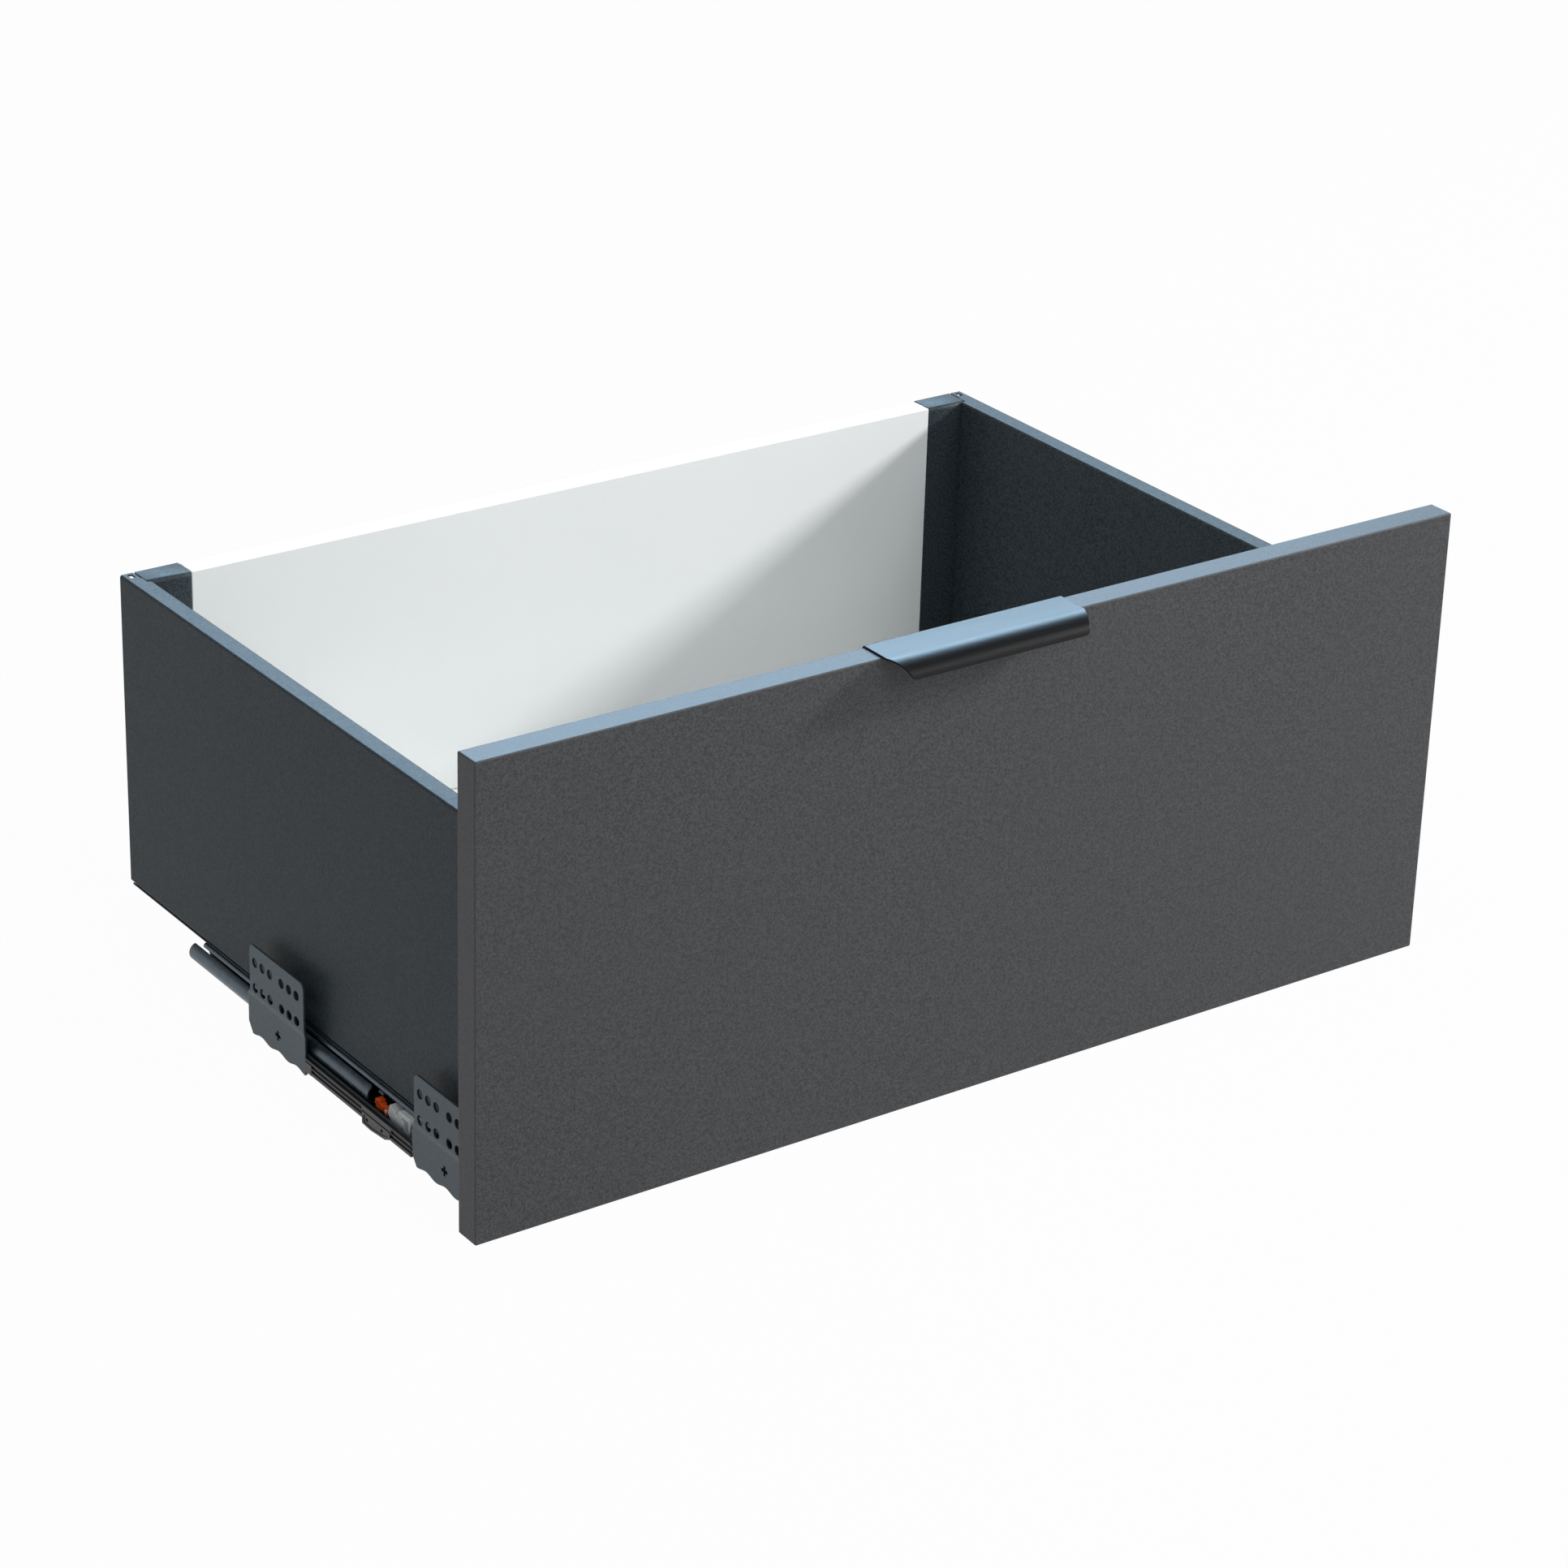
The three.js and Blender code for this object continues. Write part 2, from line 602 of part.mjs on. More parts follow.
// Closer on the tray: damper cylinder, its rod, the catch that the drawer rail takes along, and its spring.
const springX = closerX - catchBlock.wide / 2 - spring.beside;
const springZ = baseTop + run + spring.radius + spring.wire / 2;
function damperCylinder() {
  const { cylinder, bore, up, from, length } = closer;
  const barrel = bar("y", cylinder, from, from + length, [closerX, up], 24);
  const saddle = box(closerX - 3, closerX + 3, from + 10, from + length - 10, baseTop + fit, up);
  return cut(join(barrel, saddle), bar("y", bore, from - 1, from + length - 6, [closerX, up], 16));
}
function damperRod() {
  const from = catchBlock.from + catchBlock.length + fit;
  return bar("y", closer.rod, from, closer.from + closer.length - 12, [closerX, closer.up], 12);
}
function closingCatch() {
  const { from, length, high, wide } = catchBlock;
  const low = baseTop + run;
  const mid = from + length / 2;
  const face = outline([
    [from, low], [from + length, low], [from + length, low + high], [from, low + high - 4],
  ]);
  return prism("x", face, closerX - wide / 2, closerX + wide / 2).add(
    box(springX - 2.4, closerX, mid - 2, from + length, low, low + 6.4));
}
// A coil between the catch and the tray's end wall, as a sleeve of its outer size.
function closingSpring() {
  const from = catchBlock.from + catchBlock.length + fit;
  const to = closer.from + closer.length + 4 - fit;
  const sleeve = bar("y", spring.radius + spring.wire / 2, from, to, [springX, springZ], 14);
  return cut(sleeve, bar("y", spring.radius - spring.wire / 2, from - 1, to + 1, [springX, springZ], 14));
}

function sideSet(group, prefix) {
  const add = (name, solid, material) => place(group, `${prefix}_${name}`, solid, material);
  add("side_profile", sideProfile(), paint.side);
  add("rear_bracket", rearBracket(), paint.side);
  add("back_screw", screwAlongY(backScrew, backScrewX, backSeat, backScrewZ), paint.zinc);
  add("front_fixing", frontFixing(), paint.zinc);
  add("tilt_cam", tiltCam(), paint.zinc);
  add("plug_cap", plugCap(), paint.side);
  add("front_wall_plate", wallPlate(plateStart[0]), paint.steel);
  add("rear_wall_plate", wallPlate(plateStart[1]), paint.steel);
  add("cabinet_rail", cabinetRailSolid(), paint.steel);
  add("middle_rail", middleRailSolid(), paint.zinc);
  add("drawer_rail", drawerRailSolid(), paint.zinc);
  for (const [name, spec, z] of [["lower", lowerCage, lowerZ], ["upper", upperCage, upperZ]]) {
    add(`${name}_cage`, cageSolid(spec, z), paint.black);
    rollerY(spec).forEach((y, i) =>
      add(`${name}_roller_${i + 1}`, bar("x", cage.roller, ...rollerX, [y, z], 16), paint.pale));
  }
  add("track", trackSolid(), paint.black);
  add("track_block", trackBlock(), paint.black);
  add("latch_body", latchBody(), paint.pale);
  add("guide_roller", guideRoller(), paint.black);
  add("release_lever", releaseLever(), paint.orange);
  add("damper_cylinder", damperCylinder(), paint.black);
  add("damper_rod", damperRod(), paint.zinc);
  add("closing_catch", closingCatch(), paint.black);
  add("closing_spring", closingSpring(), paint.zinc);
}

const rightSet = new THREE.Group();
sideSet(rightSet, "right");
const leftSet = new THREE.Group();
sideSet(leftSet, "left");
leftSet.scale.x = -1;
assembly.add(rightSet, leftSet);

// ---- Origin: middle of the underside of the whole object ----
const foremost = pullNose - pull.lipForward - pull.sheet / 2;
const rearmost = flangeRear + fit / 3 + backScrew.headHigh;
assembly.position.y = -(foremost + rearmost) / 2;

export default assembly;
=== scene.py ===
import math

import bpy
import numpy as np
from bpy.props import FloatProperty, FloatVectorProperty, IntProperty, PointerProperty
from mathutils import Matrix, Vector
from mathutils.geometry import delaunay_2d_cdt


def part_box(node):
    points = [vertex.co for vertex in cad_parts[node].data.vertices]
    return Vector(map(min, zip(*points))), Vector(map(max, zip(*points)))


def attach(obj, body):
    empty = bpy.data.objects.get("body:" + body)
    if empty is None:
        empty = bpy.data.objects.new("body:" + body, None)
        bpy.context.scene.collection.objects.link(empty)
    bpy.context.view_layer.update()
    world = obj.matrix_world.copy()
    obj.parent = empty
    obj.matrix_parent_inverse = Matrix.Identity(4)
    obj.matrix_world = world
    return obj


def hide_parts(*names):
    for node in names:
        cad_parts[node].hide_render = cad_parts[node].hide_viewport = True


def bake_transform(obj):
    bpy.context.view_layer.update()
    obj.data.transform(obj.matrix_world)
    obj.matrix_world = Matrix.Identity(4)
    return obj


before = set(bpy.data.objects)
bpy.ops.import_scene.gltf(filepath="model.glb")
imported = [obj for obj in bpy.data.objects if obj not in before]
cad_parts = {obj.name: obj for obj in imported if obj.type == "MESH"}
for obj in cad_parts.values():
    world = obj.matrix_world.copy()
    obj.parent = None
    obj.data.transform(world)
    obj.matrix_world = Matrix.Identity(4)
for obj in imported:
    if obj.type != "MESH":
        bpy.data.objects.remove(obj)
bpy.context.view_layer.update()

bl_info = {
    "name": "Slim metal drawer on concealed slides",
    "version": (1, 0, 0),
    "blender": (4, 5, 0),
    "location": "View3D > Sidebar > Drawer",
    "description": "Finishes the pieces of a double-wall drawer and its two slides round a packed frame",
    "category": "Object",
}

MM = 0.001
HOLD = 0.06 * MM  # how far beside a rounding the flat face starts again
SIDES = (("left", -1), ("right", 1))
RAYS = ("Camera", "Glossy", "Transmission")


def span(node):
    """Lowest and highest corner of a frame node, as arrays."""
    low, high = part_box(node)
    return np.array(low), np.array(high)


BOARD_BACK = span("front_panel")[1][1]  # the drawer's lengthwise places count from here
SHEET = 1.5 * MM  # rails and rear brackets
FIT = 0.3 * MM  # clearance between neighbouring pieces
LEVER_PIVOT = (BOARD_BACK + 120.5 * MM, 13.2 * MM)  # lengthwise and up


# ---- Surfaces ----


class Skin:
    """A closed surface: points, faces as index tuples, and an edge value per point, 1 on a rounding."""

    def __init__(self, points, faces, edge):
        self.points, self.faces, self.edge = points, faces, edge

    def __add__(self, other):
        start = len(self.points)
        faces = self.faces + [tuple(i + start for i in f) for f in other.faces]
        return Skin(np.vstack([self.points, other.points]), faces, np.concatenate([self.edge, other.edge]))

    def mapped(self, place):
        """The same faces with each point sent through place, a function on whole arrays."""
        return Skin(place(self.points), self.faces, self.edge)

    def along(self, axis, start):
        """Stands the blank up: its own c axis runs along axis from start."""
        a, b, c = self.points.T
        order = {"x": (c + start, a, b), "y": (a, start - c, b), "z": (a, b, c + start)}
        return Skin(np.stack(order[axis], 1), self.faces, self.edge)

    def handed(self, sign):
        """Its mirror image in x where sign is -1, with the faces turned to keep facing outwards."""
        if sign > 0:
            return self
        return Skin(self.points * (-1, 1, 1), [f[::-1] for f in self.faces], self.edge)


def rounded(corners, closed=True, steps=5):
    """A line through (a, b, radius) corners: each corner is an arc touching both sides, start + turn * t
    about its centre, with one more point a little way along each side so that shading stays on the arc."""
    at = np.array([c[:2] for c in corners], float)
    radii = [c[2] if len(c) > 2 else 0.0 for c in corners]
    line = []
    for i, (p, radius) in enumerate(zip(at, radii)):
        last = not closed and i in (0, len(at) - 1)
        if last or radius <= 0:
            line.append(p[None])
            continue
        back, on = at[i - 1] - p, at[(i + 1) % len(at)] - p
        back, on = back / np.linalg.norm(back), on / np.linalg.norm(on)
        half = 0.5 * math.acos(np.clip(back @ on, -1, 1))
        centre = p + (back + on) / np.linalg.norm(back + on) * radius / math.sin(half)
        start = p + back * radius / math.tan(half)
        sense = -math.copysign(1, back[0] * on[1] - back[1] * on[0])
        ease = 1.3 * radius * math.tan((math.pi - 2 * half) / steps / 4)
        t = sense * (math.pi - 2 * half) * np.linspace(0, 1, steps + 1)
        r = start - centre
        arc = centre + np.stack([np.cos(t) * r[0] - np.sin(t) * r[1], np.sin(t) * r[0] + np.cos(t) * r[1]], 1)
        line.append(np.vstack([start + back * ease, arc, arc[-1] + on * ease]))
    line = np.vstack(line)
    gap = np.linalg.norm(np.roll(line, -1, 0) - line, axis=1)
    keep = gap > 1e-7
    if not closed:
        keep[-1] = True
    return line[keep]


def circle(a, b, radius, points=40):
    """A round loop."""
    t = np.linspace(0, 2 * np.pi, points, endpoint=False)
    return np.stack([a + radius * np.cos(t), b + radius * np.sin(t)], 1)


def rectangle(a0, a1, b0, b1, radius=0.0):
    """A rectangular loop with rounded corners."""
    return rounded([(a0, b0, radius), (a1, b0, radius), (a1, b1, radius), (a0, b1, radius)])


def cross_loop(a, b, arm, slot, radius):
    """A plus sign of half length arm and half width slot."""
    quarter = [(slot, slot), (slot, arm), (-slot, arm)]
    turns = [(1, 0, 0, 1), (0, -1, 1, 0), (-1, 0, 0, -1), (0, 1, -1, 0)]
    corners = [(a + c * u + s * v, b + n * u + m * v, radius) for c, s, n, m in turns for u, v in quarter]
    return rounded(corners, steps=2)


def wound(loop, sense):
    """The loop, turned round if it doesn't run anticlockwise for sense 1 or clockwise for -1."""
    a, b = loop.T
    area = (a * np.roll(b, -1) - b * np.roll(a, -1)).sum()
    return loop if area * sense > 0 else loop[::-1]


def with_levels(loop, levels):
    """The loop with a point added wherever a side crosses a level of b well clear of the side's ends."""
    b0, b1 = loop[:, 1], np.roll(loop[:, 1], -1)
    clear = 0.2 * MM / np.maximum(np.linalg.norm(np.roll(loop, -1, 0) - loop, axis=1), 1e-9)
    stations = [np.arange(len(loop), dtype=float)]
    for level in levels:
        side = np.nonzero((b0 - level) * (b1 - level) < 0)[0]
        share = (level - b0[side]) / (b1[side] - b0[side])
        free = (share > clear[side]) & (share < 1 - clear[side])
        stations.append(side[free] + share[free])
    stations = np.sort(np.concatenate(stations))
    ring = np.vstack([loop, loop[:1]])
    at = np.arange(len(ring))
    return np.stack([np.interp(stations, at, ring[:, k]) for k in (0, 1)], 1)


def inward(loop):
    """Mitre vector at each point: the left normals of its two sides added, over one plus their dot."""
    side = np.roll(loop, -1, 0) - loop
    side /= np.linalg.norm(side, axis=1, keepdims=True)
    left = np.stack([-side[:, 1], side[:, 0]], 1)
    before = np.roll(left, 1, 0)
    return (left + before) / (1 + (left * before).sum(1, keepdims=True))


def inside(points, loop):
    """Which points lie in the loop: a ray along a crosses its sides an odd number of times."""
    p, q = loop[None], np.roll(loop, -1, 0)[None]
    x, y = points[:, 0, None], points[:, 1, None]
    spans = (p[..., 1] > y) != (q[..., 1] > y)
    rise = np.where(q[..., 1] == p[..., 1], 1.0, q[..., 1] - p[..., 1])
    cut = p[..., 0] + (y - p[..., 1]) * (q[..., 0] - p[..., 0]) / rise
    return ((spans & (x < cut)).sum(1) % 2) == 1


def crossings(loops, level):
    """Where the loops cross a level of b, in order: each side's ends weighed by their distance from it."""
    found = []
    for loop in loops:
        p, q = loop, np.roll(loop, -1, 0)
        side = (p[:, 1] > level) != (q[:, 1] > level)
        p, q = p[side], q[side]
        found.append(p[:, 0] + (level - p[:, 1]) * (q[:, 0] - p[:, 0]) / (q[:, 1] - p[:, 1]))
    return np.sort(np.concatenate(found))


def filled(loops, levels, shy=0.3 * MM):
    """Triangles between an outline and its holes, with a fold line along each level of b that stops a
    little way short of the loops. Also gives the fold lines' end points, which come after the loops'."""
    count = sum(len(loop) for loop in loops)
    starts = np.cumsum([0] + [len(loop) for loop in loops])
    edges = [(s + i, s + (i + 1) % n) for s, n in zip(starts, map(len, loops)) for i in range(n)]
    ends = [np.zeros((0, 2))]
    for level in levels:
        cuts = crossings(loops, level)
        for a, b in zip(cuts[::2] + shy, cuts[1::2] - shy):
            if b - a > shy:
                edges.append((count + 2 * len(ends) - 2, count + 2 * len(ends) - 1))
                ends.append(np.array([(a, level), (b, level)]))
    ends = np.vstack(ends)
    flat = np.vstack([*loops, ends])
    points = [Vector(p) for p in (flat / MM).tolist()]
    found, _, faces, origin, _, _ = delaunay_2d_cdt(points, edges, [], 1, 1e-6)
    if len(found) != len(flat):
        raise RuntimeError("a loop touches itself or another one")
    name = np.array([o[0] for o in origin])
    corners = name[np.array(faces)]
    middle = flat[corners].mean(1)
    keep = np.ones(len(corners), bool)
    for hole in loops[1:]:
        keep &= ~inside(middle, hole)
    return corners[keep], ends


def blank(loops, thick, rim=0.3 * MM, levels=(), steps=3):
    """A flat blank in (a, b) from c = 0 to thick: loops[0] is its outline and the others are holes.
    Each loop runs down the blank's edge in rings, drawn into the material by rim * (1 - sin t) at a
    depth of rim * (1 - cos t) from either face, and the two faces are filled between the last rings."""
    loops = [wound(with_levels(loop, levels), -1 if k else 1) for k, loop in enumerate(loops)]
    rims = [rim] * len(loops) if np.isscalar(rim) else list(rim)
    t = np.linspace(0, np.pi / 2, steps + 1)
    drawn = np.concatenate([[1.0], 1 - np.sin(t), [0.0]])
    deep = np.concatenate([[0.0], 1 - np.cos(t), [1.0]])
    hold = np.zeros(len(t) + 2)
    hold[0] = HOLD
    rise = np.zeros(len(t) + 2)
    rise[-1] = HOLD
    mark = np.concatenate([[0.0], np.ones(len(t)), [0.0]])
    rings = 2 * len(mark)
    points, edge, faces, low, high, start = [], [], [], [], [], 0
    for loop, r in zip(loops, rims):
        inset = np.concatenate([r * drawn + hold, (r * drawn + hold)[::-1]])
        depth = r * deep + rise
        depth = np.concatenate([depth, thick - depth[::-1]])
        n = len(loop)
        flat = loop[None] + inward(loop)[None] * inset[:, None, None]
        if ((np.roll(flat[0], -1, 0) - flat[0]) * (np.roll(loop, -1, 0) - loop)).sum(1).min() < 0:
            raise RuntimeError("a corner is rounded less than its rim")
        points.append(np.dstack([flat, np.repeat(depth[:, None], n, 1)]).reshape(-1, 3))
        edge.append(np.repeat(np.concatenate([mark, mark[::-1]]), n))
        k, i = np.meshgrid(np.arange(rings - 1), np.arange(n), indexing="ij")
        j = (i + 1) % n
        quads = np.stack([k * n + i, k * n + j, (k + 1) * n + j, (k + 1) * n + i], -1) + start
        faces += list(map(tuple, quads.reshape(-1, 4).tolist()))
        low.append(np.arange(n) + start)
        high.append(np.arange(n) + start + (rings - 1) * n)
        start += rings * n
    if len(loops) == 1 and not len(levels):
        faces += [tuple(low[0][::-1].tolist()), tuple(high[0].tolist())]
    else:
        face_loops = [loop + inward(loop) * (r + HOLD) for loop, r in zip(loops, rims)]
        triangles, ends = filled(face_loops, levels)
        low = np.concatenate([*low, np.arange(len(ends)) + start])
        high = np.concatenate([*high, np.arange(len(ends)) + start + len(ends)])
        points += [np.column_stack([ends, np.full(len(ends), c)]) for c in (0, thick)]
        edge.append(np.zeros(2 * len(ends)))
        faces += list(map(tuple, low[triangles[:, ::-1]].tolist()))
        faces += list(map(tuple, high[triangles].tolist()))
    return Skin(np.vstack(points), faces, np.concatenate(edge))


def block(low, high, rim=0.3 * MM, corner=0.4 * MM):
    """A box with rounded edges, between two corners."""
    loop = rectangle(low[0], high[0], low[1], high[1], corner)
    return blank([loop], high[2] - low[2], rim).along("z", low[2])


def lengths(path):
    """Distance along the path at each of its points."""
    return np.concatenate([[0], np.cumsum(np.linalg.norm(np.diff(path, axis=0), axis=1))])


def station(path, point):
    """Distance along the path of its nearest place to a point: the point projected on every stretch."""
    start, step = path[:-1], np.diff(path, axis=0)
    size = np.linalg.norm(step, axis=1)
    share = np.clip(((np.array(point) - start) * step).sum(1) / size**2, 0, 1)
    nearest = np.argmin(np.linalg.norm(start + share[:, None] * step - point, axis=1))
    return lengths(path)[nearest] + share[nearest] * size[nearest]


def bent(path, loops, thick, axis, start, rim=0.3 * MM):
    """A blank bent along a section path: b is the distance along the path, c goes off it along its normal,
    and a runs along the axis from start. Between path points the place is path + normal * (c - thick / 2)."""
    at = lengths(path)
    step = np.diff(path, axis=0)
    step /= np.linalg.norm(step, axis=1, keepdims=True)
    off = np.stack([-step[:, 1], step[:, 0]], 1) * (1 if axis == "x" else -1)
    normal = np.vstack([off[:1], off[:-1] + off[1:], off[-1:]])
    normal /= np.linalg.norm(normal, axis=1, keepdims=True)

    def place(points):
        a, b, c = points.T
        line = np.stack([np.interp(b, at, path[:, k]) for k in (0, 1)], 1)
        out = np.stack([np.interp(b, at, normal[:, k]) for k in (0, 1)], 1)
        u, v = (line + out * (c - thick / 2)[:, None]).T
        return np.stack((a + start, u, v) if axis == "x" else (u, a + start, v), 1)

    return blank(loops, thick, rim, at[1:-1]).mapped(place)


def turned(profile, axis, centre, points=40, ring=False):
    """A profile of (radius, height) turned round an axis through centre: radius * (cos, sin) and height.
    A solid's profile starts and ends on the axis, and a ring's profile is a loop clear of it."""
    rows = profile if ring else profile[1:-1]
    t = np.linspace(0, 2 * np.pi, points, endpoint=False)
    r, h = rows[:, 0, None], np.repeat(rows[:, 1, None], points, 1)
    body = np.dstack([r * np.cos(t), r * np.sin(t), h]).reshape(-1, 3)
    m = len(rows)
    k, i = np.meshgrid(np.arange(m if ring else m - 1), np.arange(points), indexing="ij")
    j, up = (i + 1) % points, (k + 1) % m
    quads = np.stack([k * points + i, k * points + j, up * points + j, up * points + i], -1)
    faces = list(map(tuple, quads.reshape(-1, 4).tolist()))
    if not ring:
        first, last = m * points, m * points + 1
        body = np.vstack([body, [[0, 0, profile[0, 1]], [0, 0, profile[-1, 1]]]])
        faces += [(first, (i + 1) % points, i) for i in range(points)]
        end = (m - 1) * points
        faces += [(last, end + i, end + (i + 1) % points) for i in range(points)]
    a, b, c = body.T
    order = {"x": (c, a, b), "y": (a, -c, b), "z": (a, b, c)}
    return Skin(np.stack(order[axis], 1) + centre, faces, np.zeros(len(body)))


def pin(radius, low, high, soft):
    """Profile of a round bar with softened ends."""
    return rounded([(0, low), (radius, low, soft), (radius, high, soft), (0, high)], closed=False, steps=4)


def washer(inner, outer, low, high, soft):
    """Profile of a ring of rectangular section with softened corners, anticlockwise in (radius, height)."""
    corners = [(inner, low, soft), (outer, low, soft), (outer, high, soft), (inner, high, soft)]
    return rounded(corners, steps=4)


def coil(centre, radius, wire, low, high, turns, sides=10, per_turn=28):
    """A close helix along y: a circle of the wire's radius carried round centre + radius * (cos, sin) while y
    goes from high to low, its first and last half turns lying flat, with both ends filled."""
    n = int(turns * per_turn) + 1
    t = np.linspace(0, 2 * np.pi * turns, n)
    share = np.clip((t - np.pi) / (t[-1] - 2 * np.pi), 0, 1)
    y = high - wire - (high - low - 2 * wire) * share
    out = np.stack([np.cos(t), np.zeros(n), np.sin(t)], 1)
    line = np.stack([centre[0] + radius * np.cos(t), y, centre[2] + radius * np.sin(t)], 1)
    v = np.linspace(0, 2 * np.pi, sides, endpoint=False)
    tube = line[:, None] + wire * (np.cos(v)[None, :, None] * out[:, None])
    tube[..., 1] += wire * np.sin(v)[None]
    k, i = np.meshgrid(np.arange(n - 1), np.arange(sides), indexing="ij")
    j = (i + 1) % sides
    quads = np.stack([k * sides + i, k * sides + j, (k + 1) * sides + j, (k + 1) * sides + i], -1)
    faces = list(map(tuple, quads.reshape(-1, 4).tolist()))
    faces += [tuple(range(sides))[::-1], tuple(range((n - 1) * sides, n * sides))]
    return Skin(tube.reshape(-1, 3), faces, np.zeros(n * sides))


def finish_piece(name, skin, body, slot, nodes, sharp=34):
    """Makes the mesh object, gives it its finish, and hands it to the frame."""
    mesh = bpy.data.meshes.new(name)
    mesh.from_pydata(skin.points.tolist(), [], skin.faces)
    edge = mesh.attributes.new("edge", "FLOAT", "POINT")
    edge.data.foreach_set("value", skin.edge.astype(np.float32))
    mesh.shade_smooth()
    mesh.set_sharp_from_angle(angle=math.radians(sharp))
    mesh.materials.append(bpy.data.materials[f"{slot}_finish"])
    piece = bpy.data.objects.new(name, mesh)
    bpy.context.scene.collection.objects.link(piece)
    if body:
        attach(piece, body)
    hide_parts(*nodes)
    return piece


def piece_pair(part, body, slot, make, nodes=None):
    """The same piece on both sides: make() draws the right one, and the left is its mirror image."""
    for side, sign in SIDES:
        where = body.format(side=side)
        covered = [f"{side}_{n}" for n in (nodes or [part])]
        finish_piece(f"{side}_{part}_finished", make().handed(sign), where, slot, covered)


# ---- Finishes ----


class Signal:
    """A shader socket that can be added, subtracted and multiplied. Each step adds a Math node."""

    def __init__(self, tree, socket):
        self.tree, self.socket = tree, socket

    def node(self, kind, settings=(), inputs=(), output=0):
        """Adds a node, sets its settings, then its sockets' values or links, and returns one output."""
        made = self.tree.nodes.new(kind)
        for key, value in dict(settings).items():
            setattr(made, key, value)
        for key, value in dict(inputs).items():
            if isinstance(value, Signal):
                self.tree.links.new(value.socket, made.inputs[key])
            else:
                made.inputs[key].default_value = value
        return Signal(self.tree, made.outputs[output])

    def math(self, operation, first, second):
        """One Math node on two values or sockets."""
        return self.node("ShaderNodeMath", {"operation": operation}, {0: first, 1: second})

    def __add__(self, other):
        return self.math("ADD", self, other)

    def __sub__(self, other):
        return self.math("SUBTRACT", self, other)

    def __rsub__(self, other):
        return self.math("SUBTRACT", other, self)

    def __mul__(self, other):
        return self.math("MULTIPLY", self, other)

    __radd__, __rmul__ = __add__, __mul__

    def above(self, level, width):
        """0 below level and 1 above it, rising over width."""
        sockets = {"Value": self, "From Min": level - width / 2, "From Max": level + width / 2}
        return self.node("ShaderNodeMapRange", {"clamp": True}, sockets)

    def between(self, colour_a, colour_b):
        """colour_a where this is 0 and colour_b where it is 1."""
        return self.node("ShaderNodeMix", {"data_type": "RGBA"}, {0: self, 6: colour_a, 7: colour_b}, 2)


def new_finish(name):
    """An empty material: its tree as a Signal on Object coordinates, its Principled shader and its edges."""
    material = bpy.data.materials.new(f"{name}_finish")
    material.use_nodes = True
    tree = material.node_tree
    shader = tree.nodes["Principled BSDF"]
    place = Signal(tree, None).node("ShaderNodeTexCoord", output="Object")
    edge = place.node("ShaderNodeAttribute", {"attribute_name": "edge"}, output="Fac")
    return place, edge, shader


def noise(place, scale, detail=2.0, rough=0.5, stretch=(1, 1, 1)):
    """Cloudy values round 0.5; scale is in cells per metre."""
    at = place.node("ShaderNodeMapping", {}, {"Vector": place, "Scale": stretch})
    inputs = {"Vector": at, "Scale": scale, "Detail": detail, "Roughness": rough}
    return place.node("ShaderNodeTexNoise", {}, inputs)


def shade(colour, factor):
    """A colour made lighter or darker, as four numbers."""
    return (*[min(1.0, c * factor) for c in colour[:3]], 1.0)


def connect(shader, place, colour, roughness, height, depth, strength=0.5):
    """Feeds the base colour, the roughness and a bump of the given depth to the shader."""
    bump = place.node("ShaderNodeBump", {}, {"Height": height, "Distance": depth, "Strength": strength})
    for socket, value in (("Base Color", colour), ("Roughness", roughness), ("Normal", bump)):
        place.tree.links.new(value.socket, shader.inputs[socket])


def board_finish(colours):
    """Melamine board: a fine two-scale print grain, soft clouds, and a painted highlight on the rounded
    edges.
    """
    place, edge, shader = new_finish("front_board")
    base = colours.front
    fine = noise(place, 700, 2.0, 0.6)
    coarse = noise(place, 300, 2.0, 0.6)
    cloud = noise(place, 5.0, 2.0)
    grain = (fine * 0.75 + coarse * 0.25).above(0.5, 0.24)
    colour = grain.between(shade(base, 0.5), shade(base, 1.6))
    colour = (cloud.above(0.5, 0.5) * 0.3).between(colour, shade(base, 1.12))
    # painted highlight: the rounded edges are painted lighter
    colour = (edge * 0.45).between(colour, shade(base, 1.5))
    connect(shader, place, colour, 0.44 + fine * 0.16, grain, 0.02 * MM, 0.5)
    shader.inputs["Specular IOR Level"].default_value = 0.35
    return shader


def powder_finish(name, base, metallic, roughness, contrast, grain=880.0, gloss=0.35):
    """Powder coat: an orange-peel surface, dark and light specks, and a painted highlight on the rounded
    edges.
    """
    place, edge, shader = new_finish(name)
    fine = noise(place, grain, 3.0, 0.65)
    peel = noise(place, grain * 0.45, 1.0)
    cloud = noise(place, 9.0, 3.0)
    speck = fine.above(0.5, 0.3)
    colour = speck.between(shade(base, 1 - contrast), shade(base, 1 + contrast))
    colour = (cloud.above(0.5, 0.4) * 0.35).between(colour, shade(base, 1.18))
    # painted highlight: the rounded edges are painted lighter
    colour = (edge * 0.5).between(colour, shade(base, 1.7))
    connect(shader, place, colour, roughness + peel * 0.12, peel * 0.6 + fine * 0.4, 0.05 * MM, 0.5)
    shader.inputs["Metallic"].default_value = metallic
    shader.inputs["Specular IOR Level"].default_value = gloss
    return shader


def white_finish(colours):
    """White coated board: a faint peel and a slight warm and cool drift."""
    place, edge, shader = new_finish("white_board")
    base = colours.white
    drift = noise(place, 3.0, 2.0)
    fine = noise(place, 900, 2.0)
    colour = drift.above(0.5, 0.5).between(shade(base, 0.97), shade(base, 1.02))
    # painted shade: the rounded edges are painted a little darker
    colour = (edge * 0.3).between(colour, shade(base, 0.93))
    connect(shader, place, colour, 0.36 + fine * 0.1, fine, 0.015 * MM, 0.4)
    return shader


